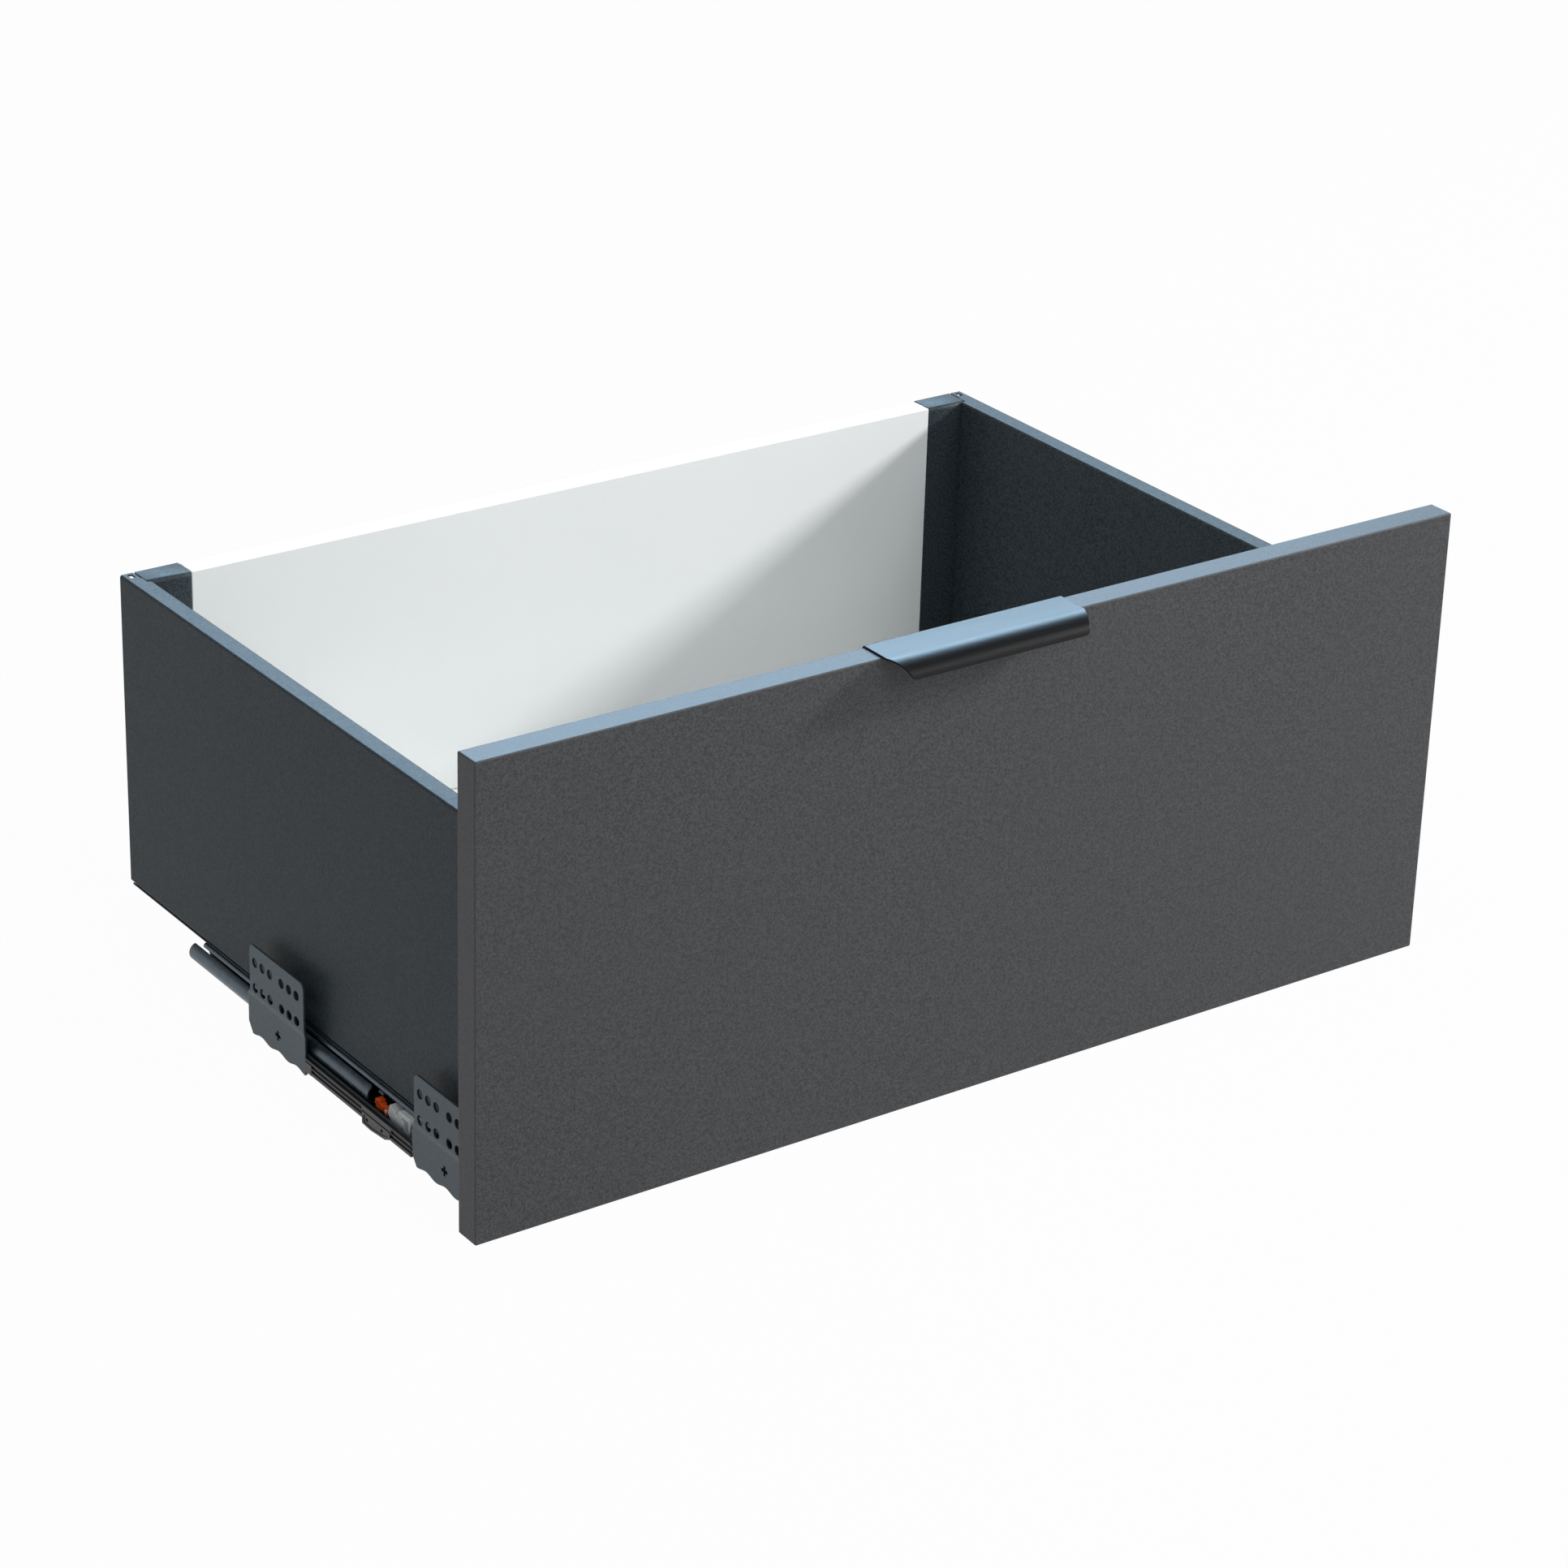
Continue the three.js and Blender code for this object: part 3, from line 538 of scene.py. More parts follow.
def pull_finish(colours):
    """Satin black anodised metal, brushed along its length."""
    place, edge, shader = new_finish("pull_coat")
    base = colours.pull
    brush = noise(place, 900, 3.0, 0.6, (0.04, 1, 1))
    fine = noise(place, 1600, 2.0)
    colour = brush.above(0.5, 0.4).between(shade(base, 0.8), shade(base, 1.25))
    # painted highlight: the rounded edges are painted much lighter
    colour = (edge * 0.5).between(colour, shade(base, 2.4))
    connect(shader, place, colour, 0.3 + brush * 0.12, brush * 0.7 + fine * 0.3, 0.012 * MM, 0.5)
    shader.inputs["Specular IOR Level"].default_value = 0.2
    return shader


def zinc_finish(colours):
    """Zinc-plated steel: crystal flakes of differing tone over fine drawing lines along the rail."""
    place, edge, shader = new_finish("zinc")
    base = colours.zinc
    cells = place.node("ShaderNodeTexVoronoi", {"feature": "F1"}, {"Vector": place, "Scale": 260.0}, "Color")
    flake = place.node("ShaderNodeSeparateColor", {}, {"Color": cells}, "Red")
    lines = noise(place, 1400, 2.0, 0.5, (1, 0.02, 1))
    tone = (flake * 0.5 + lines * 0.5).above(0.5, 0.6)
    colour = tone.between(shade(base, 0.82), shade(base, 1.14))
    # painted highlight: the rounded edges are painted lighter
    colour = (edge * 0.5).between(colour, shade(base, 1.5))
    connect(shader, place, colour, 0.28 + tone * 0.14, lines, 0.01 * MM, 0.4)
    shader.inputs["Metallic"].default_value = 0.75
    return shader


def plastic_finish(name, base, roughness):
    """Moulded plastic: fine spark-eroded texture, faint flow marks and a painted highlight on the rounded
    edges.
    """
    place, edge, shader = new_finish(name)
    fine = noise(place, 2200, 2.0, 0.6)
    flow = noise(place, 60, 3.0, 0.5, (1, 0.3, 1))
    colour = flow.above(0.5, 0.5).between(shade(base, 0.88), shade(base, 1.1))
    # painted highlight: the rounded edges are painted lighter
    colour = (edge * 0.3).between(colour, shade(base, 1.35))
    connect(shader, place, colour, roughness + fine * 0.12, fine, 0.02 * MM, 0.45)
    return shader


# ---- Sizes and colours that a user would change ----


def size(name, description, default, low=0.0):
    """A length property in metres."""
    return FloatProperty(name=name, description=description, default=default, min=low, unit="LENGTH")


def tint(name, red, green, blue):
    """A colour property, given as screen values from 0 to 255."""
    linear = [((c / 255 + 0.055) / 1.055) ** 2.4 if c > 10 else c / 255 / 12.92 for c in (red, green, blue)]
    return FloatVectorProperty(
        name=name, description=f"Base colour of the {name.lower()}", subtype="COLOR", size=3,
        default=linear, min=0.0, max=1.0,
    )


class DrawerSizes(bpy.types.PropertyGroup):
    """Sizes of the drawer box's own details."""

    board_edge: size("Board edge", "Rounding of the front board's edges", 0.9 * MM)
    wall: size("Wall", "Thickness of the double-walled side", 13 * MM)
    skin: size("Skin", "Sheet thickness of the side", 1.2 * MM)
    wall_round: size("Wall round", "Outer radius of the side's top edges", 1.7 * MM)
    wall_lift: size("Wall lift", "Height of the side's lower edge above the floor", 28.5 * MM)
    notch_gap: size("Notch gap", "Gap between the side and the rear bracket", 0.3 * MM)
    pull_sheet: size("Pull sheet", "Sheet thickness of the edge pull", 1.2 * MM)
    pull_nose: size("Pull nose", "How far the pull is flat in front of the board", 4 * MM)
    lip_forward: size("Lip forward", "How far the lip reaches beyond the nose", 15 * MM)
    lip_drop: size("Lip drop", "How far the lip comes down", 9.3 * MM)
    lip_cut: size("Lip cut", "How much shorter the lip is at its edge, at each end", 8.2 * MM)
    lip_corner: size("Lip corner", "Radius of the lip's corners", 3.4 * MM)


class SlideSizes(bpy.types.PropertyGroup):
    """Sizes of the slides' own details."""

    hole: size("Hole", "Radius of the fixing holes", 3.1 * MM)
    hole_margin: size("Hole margin", "Plate edge to the first hole", 8.5 * MM)
    hole_pitch: size("Hole pitch", "Spacing of the holes in a group", 9 * MM)
    hole_group: size("Hole group", "Spacing of the two groups", 32 * MM)
    plate_edge: size("Plate edge", "Rounding of the plates' edges", 0.35 * MM)
    bend: size("Bend", "Centre-line radius of the rails' bends", 1.6 * MM)
    bulge: size("Bulge", "Radius of the middle rail's rounded wall", 5.4 * MM)
    lever_ribs: IntProperty(name="Lever ribs", description="Ribs round the lever's head", default=9, min=3)
    spring_turns: IntProperty(
        name="Spring turns", description="Turns of the closing spring", default=44, min=4,
    )


class DrawerColours(bpy.types.PropertyGroup):
    """Base colours of the finishes."""

    front: tint("Front board", 60, 61, 64)
    side: tint("Side paint", 50, 58, 63)
    white: tint("White board", 238, 241, 241)
    pull: tint("Pull", 12, 13, 15)
    plate: tint("Plates", 62, 76, 83)
    zinc: tint("Zinc", 84, 96, 104)
    black: tint("Black plastic", 30, 29, 31)
    orange: tint("Release lever", 240, 92, 24)
    pale: tint("Pale plastic", 232, 236, 238)


# ---- Pieces of the drawer box ----


def front_board(sizes):
    """The board: a rectangle with softened corners, rounded over both faces."""
    low, high = span("front_panel")
    loop = rectangle(low[0], high[0], low[2], high[2], 1.2 * MM)
    skin = blank([loop], high[1] - low[1], sizes.board_edge, steps=4).along("y", high[1])
    finish_piece("front_board", skin, "drawer", "front_board", ["front_panel"])


def screw(head, centre, z, seat, high, shank, length):
    """A pan-head screw along y with a cross recess: a rounded disc with a cross cut through it, closed below
    by the top of its shank, and a shank whose thread swells and narrows as it goes in."""
    loops = [circle(centre, z, head, 48), cross_loop(centre, z, head * 0.56, head * 0.13, 0.2 * MM)]
    disc = blank(loops, high, [high * 0.45, 0.1 * MM], steps=4).along("y", seat + high)
    turns = np.linspace(0, 1, 61)
    thread = shank * (1 - 0.16 * (0.5 + 0.5 * np.cos(2 * np.pi * 15 * turns)))
    body = np.stack([thread * np.clip((1 - turns) * 5, 0.05, 1), turns * length], 1)
    top = [(0, -high * 0.45), (head * 0.72, -high * 0.45), (head * 0.72, -0.02 * MM)]
    profile = np.vstack([top, body, [(0, length + 0.2 * MM)]])
    return disc + turned(profile, "y", (centre, seat, z), 32)


def edge_pull(sizes):
    """The pull: a blank with screw holes and slanting lip ends, bent up behind the board, forward over its
    top edge and down in a quarter of an ellipse."""
    low, high = span("edge_pull")
    board = span("front_panel")
    t = sizes.pull_sheet
    top = high[2] - t / 2
    rear = high[1] - t / 2
    nose = board[0][1] - sizes.pull_nose
    sweep = np.linspace(math.radians(90), math.radians(178), 25)
    lip = np.stack([nose + sizes.lip_forward * np.cos(sweep), top + sizes.lip_drop * (np.sin(sweep) - 1)], 1)
    path = np.vstack([rounded([(rear, low[2]), (rear, top, 1.3 * MM), (nose, top)], closed=False), lip[1:]])
    length = high[0] - low[0]
    end = lengths(path)[-1]
    flat = station(path, (nose, top))
    cut = sizes.lip_cut
    outline = rounded([
        (0, 0, 2 * MM), (length, 0, 2 * MM), (length, flat, 2 * MM), (length - cut, end, sizes.lip_corner),
        (cut, end, sizes.lip_corner), (0, flat, 2 * MM),
    ])
    screws = [span(f"pull_screw_{i}") for i in (1, 2)]
    spots = [((s[0][0] + s[1][0]) / 2, (s[0][2] + s[1][2]) / 2) for s in screws]
    holes = [circle(x - low[0], z - low[2], 1.9 * MM, 32) for x, z in spots]
    skin = bent(path, [outline, *holes], t, "x", low[0], 0.35 * MM)
    finish_piece("edge_pull_finished", skin, "drawer", "pull_coat", ["edge_pull"])
    for i, (x, z) in enumerate(spots):
        s = screws[i]
        head = (s[1][0] - s[0][0]) / 2
        high_y = 1.8 * MM
        skin = screw(head, x, z, s[1][1] - high_y, high_y, 1.6 * MM, s[1][1] - s[0][1] - high_y - 0.3 * MM)
        finish_piece(f"pull_screw_{i + 1}_finished", skin, "drawer", "zinc", [f"pull_screw_{i + 1}"])


def boards():
    """Back and bottom boards: rectangles with rounded edges, thick along y and along z."""
    low, high = span("back_panel")
    loop = rectangle(low[0], high[0], low[2], high[2], 1 * MM)
    skin = blank([loop], high[1] - low[1], 0.7 * MM, steps=4).along("y", high[1])
    finish_piece("back_board", skin, "drawer", "white_board", ["back_panel"])
    low, high = span("bottom_panel")
    loop = rectangle(low[0], high[0], low[1], high[1], 0.8 * MM)
    skin = blank([loop], high[2] - low[2], 0.5 * MM).along("z", low[2])
    finish_piece("bottom_board", skin, "drawer", "white_board", ["bottom_panel"])


def side_wall(sizes):
    """One sheet: foot, inner wall, top, outer wall and lower return, bent from a blank with a cam hole, a
    plug hole, a lug hole in the top and a notch for the rear bracket."""
    low, high = span("right_side_profile")
    post = span("right_rear_bracket")
    t, r = sizes.skin, sizes.wall_round - sizes.skin / 2
    inner, outer = high[0] - sizes.wall + t / 2, high[0] - t / 2
    top, foot, lift = high[2] - t / 2, low[2] + t / 2, sizes.wall_lift + t / 2
    path = rounded([
        (low[0], foot), (inner, foot, 1.5 * MM), (inner, top, r), (outer, top, r), (outer, lift, 1.2 * MM),
        (inner + 2 * t, lift),
    ], closed=False, steps=6)
    length, girth = high[1] - low[1], lengths(path)[-1]
    notch = post[0][1] - sizes.notch_gap - low[1]
    first = station(path, (inner, foot + 2.6 * MM))
    over = station(path, (post[1][0] + sizes.notch_gap, top))
    clear = station(path, (post[1][0] + 1.1 * MM, top))
    outline = rounded([
        (0, 0, 1 * MM), (length, 0, 1 * MM), (length, first, 0.4 * MM), (notch, first, 0.5 * MM),
        (notch, over, 0.5 * MM), (length - 11 * MM, over), (length - 10.4 * MM, clear),
        (length, clear, 0.5 * MM), (length, girth, 0.5 * MM), (0, girth, 0.5 * MM),
    ])
    cam, plug = span("right_tilt_cam"), span("right_plug_cap")
    holes = []
    for node, radius in ((cam, (cam[1][1] - cam[0][1]) / 2 + 0.25 * MM), (plug, 4.7 * MM)):
        y, z = (node[0] + node[1])[1:] / 2
        holes.append(circle(y - low[1], station(path, (inner, z)), radius, 48))
    lug = station(path, (outer - 4.6 * MM, top))
    holes.append(rectangle(length - 8 * MM, length - 2.6 * MM, lug - 1.5 * MM, lug + 1.5 * MM, 0.5 * MM))
    wall = bent(path, [outline, *holes], t, "y", low[1], 0.3 * MM)
    rail = span("right_drawer_rail")
    seat = block((inner + 1.3 * MM, low[1], low[2]), (rail[1][0] - 1.5 * MM, high[1], low[2] + t), 0.25 * MM)
    return wall + seat


def from_frame(node, name, slot, body, width, segments=3):
    """A copy of a frame solid with its loose triangles merged, its flat faces made whole and its edges
    rounded by a Bevel modifier."""
    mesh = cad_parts[node].data.copy()
    piece = bpy.data.objects.new(name, mesh)
    bpy.context.scene.collection.objects.link(piece)
    with bpy.context.temp_override(active_object=piece, object=piece, selected_objects=[piece]):
        weld = piece.modifiers.new("weld", "WELD")
        weld.merge_threshold = 0.005 * MM
        bpy.ops.object.modifier_apply(modifier="weld")
        flat = piece.modifiers.new("flat", "DECIMATE")
        flat.decimate_type, flat.angle_limit = "DISSOLVE", math.radians(0.5)
        bpy.ops.object.modifier_apply(modifier="flat")
    bevel = piece.modifiers.new("edges", "BEVEL")
    bevel.width, bevel.segments, bevel.limit_method = width, segments, "ANGLE"
    bevel.angle_limit, bevel.harden_normals = math.radians(32), True
    piece.data.shade_smooth()
    mesh.materials.clear()
    mesh.materials.append(bpy.data.materials[f"{slot}_finish"])
    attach(piece, body)
    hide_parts(node)
    return piece


def rear_screw():
    """The screw that holds the back board to the bracket's flange."""
    low, high = span("right_back_screw")
    x, z = (low[0] + high[0]) / 2, (low[2] + high[2]) / 2
    tall = 1.8 * MM
    shank = high[1] - low[1] - tall - FIT
    return screw((high[0] - low[0]) / 2, x, z, high[1] - tall, tall, 1.7 * MM, shank)


def tilt_cam():
    """A disc with a cross recess over a closed floor."""
    low, high = span("right_tilt_cam")
    y, z = (low + high)[1:] / 2
    radius = (high[1] - low[1]) / 2
    loops = [circle(y, z, radius, 48), cross_loop(y, z, radius * 0.66, 0.55 * MM, 0.25 * MM)]
    deep = 2.2 * MM
    face = blank(loops, deep, [0.35 * MM, 0.12 * MM]).along("x", low[0])
    start = deep - 0.05 * MM
    stem = turned(pin(radius, 0, high[0] - low[0] - start, 0.2 * MM), "x", (low[0] + start, y, z))
    return face + stem


def plug_cap():
    """A domed cap on a neck: the crown's height falls with the square of the radius to a soft rim."""
    low, high = span("right_plug_cap")
    y, z = (low + high)[1:] / 2
    radius, crown = (high[1] - low[1]) / 2, 0.8 * MM
    share = np.linspace(0, 0.93, 12)
    dome = np.stack([radius * share, 0.32 * MM * share**2], 1)
    neck, deep = 4.6 * MM, high[0] - low[0]
    rim = rounded([(radius * 0.94, 0.3 * MM), (radius, 0.45 * MM, 0.2 * MM), (radius, crown, 0.1 * MM),
                   (neck, crown), (neck, deep, 0.4 * MM), (0, deep)], closed=False)
    return turned(np.vstack([dome, rim]), "x", (low[0], y, z), 48)


# ---- Pieces of the slides ----


def wall_plate(sizes, which):
    """Pressed plate: two rows of two groups of three holes, a cross hole, a wavy lower edge of depth times
    (1 - cos), a wider lower part, and a joggle inwards where the sheet steps over in a smooth S."""
    low, high = span(f"right_{which}_wall_plate")
    t, extra = 1.6 * MM, 4 * MM
    start, wide = low[1], high[1] - extra - low[1]
    end, crest = start + wide, 1.9 * MM
    share = np.linspace(0, 1, 49)
    edge = low[2] + crest / 2 * (1 - np.cos(6 * np.pi * share))
    wave = np.stack([start + share * (wide - MM), edge], 1)[1:]
    corner, r = 4.5 * MM, 0.8 * MM
    upper = rounded([
        (end - MM, low[2]), (end + extra, low[2] + 5 * MM + crest, r), (end + extra, 27 * MM, 1.2 * MM),
        (end, 31 * MM, 1.2 * MM), (end, high[2], corner), (start, high[2], corner), (start, low[2], 1.5 * MM),
        (start + MM, low[2]),
    ], closed=False, steps=7)
    outline = np.vstack([wave[1:], upper[1:-1]])
    across = [start + sizes.hole_margin + g * sizes.hole_group + k * sizes.hole_pitch
              for g in (0, 1) for k in (0, 1, 2)]
    holes = [circle(y, z, sizes.hole, 40) for z in (34 * MM, 51 * MM) for y in across]
    star = cross_loop(start + 33 * MM, 13 * MM, 3.3 * MM, 1.1 * MM, 0.25 * MM)
    joggle = np.linspace(25.6 * MM, 30.4 * MM, 9)
    rims = [sizes.plate_edge] * (1 + len(holes)) + [0.15 * MM]
    plate = blank([outline, *holes, star], t, rims, joggle)
    step = high[0] - low[0] - t

    def place(points):
        y, z, c = points.T
        share = np.clip((z - joggle[0]) / (joggle[-1] - joggle[0]), 0, 1)
        return np.stack([low[0] + step * share**2 * (3 - 2 * share) + c, y, z], 1)

    return plate.mapped(place)


def cabinet_rail(sizes):
    """A channel with a lipped inner wall, and a tray beside it whose two end walls hold the closer."""
    low, high = span("right_cabinet_rail")
    web, inner = high[0] - SHEET / 2, high[0] - SHEET / 2 - 29.4 * MM
    base = low[2] + SHEET / 2
    lip = high[2] - SHEET / 2
    path = rounded([
        (web, 14 * MM), (web, base, sizes.bend), (inner, base, sizes.bend), (inner, lip, sizes.bend),
        (inner + 3 * MM, lip),
    ], closed=False)
    length = high[1] - low[1]
    mid = station(path, ((web + inner) / 2, base))
    slots = [rectangle(y, y + 9 * MM, mid - 2 * MM, mid + 2 * MM, 1.5 * MM)
             for y in (22 * MM, length - 42 * MM, length - 20 * MM)]
    outline = rectangle(0, length, 0, lengths(path)[-1], 0.6 * MM)
    skin = bent(path, [outline, *slots], SHEET, "y", low[1], 0.25 * MM)
    cylinder, catch = span("right_damper_cylinder"), span("right_closing_catch")
    front, rear = catch[0][1] - 44 * MM, cylinder[1][1] + 6 * MM
    beside, above, wall = inner - 0.2 * MM, low[2] + 0.4 * MM, 2 * MM
    tray = block((low[0], front, low[2]), (beside, rear, low[2] + SHEET))
    tall = (cylinder[0][2] + cylinder[1][2]) / 2
    stop = block((low[0], rear - wall, above), (beside, rear, tall + 4.6 * MM), 0.3 * MM)
    nose = block((low[0], front, above), (beside, front + wall, tall), 0.3 * MM)
    return skin + tray + stop + nose


def middle_rail(sizes):
    """One sheet from a rounded outer wall under the base to the inner wall, cut back beside the latch."""
    low, high = span("right_middle_rail")
    latch = span("right_latch_body")
    middle, base, r = high[0] - SHEET / 2, low[2] + SHEET / 2, sizes.bulge
    t = np.radians(np.linspace(75, -90, 25))
    bulge = np.stack([middle - r + r * np.cos(t), base + r + r * np.sin(t)], 1)
    inner = low[0] + SHEET / 2
    wall_up = 20 * MM
    turn = rounded([tuple(bulge[-1]), (inner, base, sizes.bend), (inner, wall_up)], closed=False)
    path = np.vstack([bulge, turn[1:]])
    length, girth = high[1] - low[1], lengths(path)[-1]
    back = BOARD_BACK + 138 * MM - low[1]
    first = station(path, (latch[0][0] - MM, base))
    outline = rounded([
        (0, first, 0.8 * MM), (back, first, 1.2 * MM), (back, 0, 2.2 * MM), (length, 0, 1 * MM),
        (length, girth, 1 * MM), (0, girth, 1 * MM),
    ])
    return bent(path, [outline], SHEET, "y", low[1], 0.3 * MM)


def drawer_rail(sizes):
    """A channel with two flanges, its outer edge hemmed down, and the arm and tongue that work the closer."""
    low, high = span("right_drawer_rail")
    cage, catch = span("right_upper_cage"), span("right_closing_catch")
    middle = (cage[0][0] + cage[1][0]) / 2
    outer, half, flat = high[0] - SHEET / 2, 5.3 * MM, high[2] - SHEET / 2
    base = (cage[0][2] + cage[1][2]) / 2 + 3.375 * MM
    edge = middle - half - 12.7 * MM
    channel = [(middle + half, flat), (middle + half, base), (middle - half, base), (middle - half, flat)]
    path = rounded([
        (outer, flat - 1.9 * MM), (outer, flat, 1.0 * MM), *[(*p, sizes.bend) for p in channel], (edge, flat),
    ], closed=False)
    length = high[1] - low[1]
    outline = rectangle(0, length, 0, lengths(path)[-1], 0.5 * MM)
    skin = bent(path, [outline], SHEET, "y", low[1], 0.3 * MM)
    x, y = low[0] + 2 * MM, (catch[0][1] + catch[1][1]) / 2
    under, over = flat - SHEET / 2 + 0.05 * MM, high[2] - 0.05 * MM
    arm = block((x - 2 * MM, y - 4 * MM, under), (edge + MM, y + 4 * MM, over))
    tongue = block((x - 1.9 * MM, y - MM, low[2]), (x + 1.9 * MM, y + MM, flat), 0.25 * MM)
    return skin + arm + tongue


def cage(node):
    """A thin strip with softened corners and a pocket for each roller."""
    low, high = span(node)
    side, level = node.rsplit("_cage")[0].split("_")
    pockets = []
    for i in (1, 2):
        a, b = span(f"{side}_{level}_roller_{i}")
        pockets.append(rectangle(a[0] - FIT, b[0] + FIT, a[1] - FIT, b[1] + FIT, 0.5 * MM))
    loop = rectangle(low[0], high[0], low[1], high[1], 1.5 * MM)
    return blank([loop, *pockets], high[2] - low[2], 0.25 * MM).along("z", low[2])


def track():
    """The runner on the rail's web: a section with two lengthwise grooves, in two lengths either side of the
    block, with a raised stop at the rear."""
    low, high = span("right_track")
    stop, keep = span("right_track_block")
    proud = 0.2 * MM
    outer = high[0] - proud
    tall = high[2] - low[2]
    deep = outer - 1.1 * MM
    grooves = []
    for k in (1, 2.4):
        g = low[2] + k * tall / 4
        grooves += [(outer, g, 0.2 * MM), (deep, g + 0.15 * MM, 0.3 * MM),
                    (deep, g + 0.85 * tall / 4, 0.3 * MM), (outer, g + tall / 4, 0.2 * MM)]
    section = rounded([(low[0], low[2], 0.3 * MM), (outer, low[2], 0.3 * MM), *grooves,
                       (outer, high[2], 0.5 * MM), (low[0], high[2], 0.3 * MM)], steps=3)
    skin = None
    for y0, y1 in ((low[1], stop[1] - 0.3 * MM), (keep[1] + 0.3 * MM, high[1])):
        length = blank([section], y1 - y0, 0.1 * MM).along("y", y1)
        skin = length if skin is None else skin + length
    bridge = block((low[0], stop[1] - MM, keep[2] + 0.3 * MM), (outer, keep[1] + MM, high[2]), 0.3 * MM)
    end = block((low[0] + 0.1 * MM, high[1] - 8 * MM, low[2] + 0.05 * MM),
                (high[0], high[1] - 0.05 * MM, high[2] - 2 * MM))
    return skin + bridge + end


def track_block():
    """The catch plate in the track: a five-sided blank with two pin holes, and a raised frame round it."""
    low, high = span("right_track_block")
    y, z = low[1], low[2]
    length, tall = high[1] - low[1], high[2] - low[2]
    shape = [(0, 4.1 * MM), (6 * MM, 1.5 * MM), (22 * MM, 0), (length, 0.5 * MM), (length, tall), (0, tall)]
    outline = rounded([(y + a, z + b, 1.0 * MM) for a, b in shape])
    pins = [(y + 10 * MM, 6.2 * MM), (y + length - 5 * MM, 5.4 * MM)]
    deep = high[0] - low[0]
    holes = [circle(*p, 1.1 * MM, 28) for p in pins]
    body = blank([outline, *holes], deep - 0.5 * MM, [0.4 * MM] + [0.2 * MM] * 2)
    near, far, high_edge = 2 * MM, length - 2 * MM, tall - 1.6 * MM
    inside_shape = [(near, 5 * MM), (8 * MM, 3.0 * MM), (21 * MM, 1.7 * MM), (far, 2 * MM), (far, high_edge),
                    (near, high_edge)]
    window = rounded([(y + a, z + b, 0.8 * MM) for a, b in inside_shape])
    frame_ring = blank([outline, window], 0.9 * MM, 0.25 * MM)
    return body.along("x", low[0]) + frame_ring.along("x", high[0] - 0.9 * MM)


def latch_body():
    """The pale fork: a notched plate, two ears with an axle for the roller, and a pin for the lever."""
    low, high = span("right_latch_body")
    roller = span("right_guide_roller")
    start, wide = BOARD_BACK + 91.5 * MM, 25.5 * MM
    bottom, top = low[2], high[2]
    inner, thick = low[0], 6.6 * MM
    fork = rounded([(start + a * wide, z, 0.7 * MM) for a, z in (
        (0, bottom), (0.3, bottom), (0.36, bottom + 7.5 * MM), (0.46, bottom), (0.66, bottom),
        (0.94, bottom + 6.5 * MM), (1, bottom + 8.5 * MM), (0.9, top), (0.68, top - 3 * MM),
        (0.6, top - 5.5 * MM), (0.5, top), (0, top))], steps=4)
    relief = rounded([(start + a * wide, bottom + z, 0.5 * MM) for a, z in (
        (0.09, 3 * MM), (0.26, 3 * MM), (0.3, 9.4 * MM), (0.42, 12.2 * MM), (0.09, 12.2 * MM))], steps=3)
    skin = blank([fork, relief], thick, 0.4 * MM).along("x", inner)
    floor = wound(relief, 1)
    skin += blank([floor - inward(floor) * 0.35 * MM], 2.4 * MM, 0.2 * MM).along("x", inner + 0.6 * MM)
    x, y = (roller[0] + roller[1])[:2] / 2
    reach = x + 1.9 * MM
    for z0, z1 in ((bottom, roller[0][2] - 0.3 * MM), (roller[1][2] + 0.3 * MM, top)):
        ear = rounded([(inner, low[1], 2.4 * MM), (reach, low[1], 2.4 * MM),
                       (reach, start - 1.2 * MM, 1 * MM), (x - MM, start + 0.6 * MM),
                       (inner, start + 0.6 * MM)])
        skin += blank([ear], z1 - z0, 0.4 * MM).along("z", z0)
    skin += turned(pin(1.5 * MM, bottom + 0.5 * MM, top - 0.5 * MM, 0.2 * MM), "z", (x, y, 0), 28)
    pivot = LEVER_PIVOT
    skin += block((inner + 0.05 * MM, start + 4 * MM, pivot[1] - 2.4 * MM),
                  (inner + 1.6 * MM, pivot[0] + 2.4 * MM, pivot[1] + 2.4 * MM), 0.25 * MM)
    return skin + turned(pin(1.4 * MM, 0.3 * MM, thick - 0.6 * MM, 0.25 * MM), "x", (inner, *pivot), 24)


def guide_roller():
    """A wheel on an upright axle, with a shallow groove round its middle."""
    low, high = span("right_guide_roller")
    x, y = (low + high)[:2] / 2
    radius, mid = (high[0] - low[0]) / 2, (low[2] + high[2]) / 2
    soft, groove = 0.6 * MM, 0.35 * MM
    loop = rounded([(1.65 * MM, low[2], 0.2 * MM), (radius, low[2], soft), (radius, mid - 1.1 * MM, 0.2 * MM),
                    (radius - groove, mid - 0.6 * MM, 0.2 * MM), (radius - groove, mid + 0.6 * MM, 0.2 * MM),
                    (radius, mid + 1.1 * MM, 0.2 * MM), (radius, high[2], soft),
                    (1.65 * MM, high[2], 0.2 * MM)], steps=4)
    return turned(loop, "z", (x, y, 0), 48, ring=True)


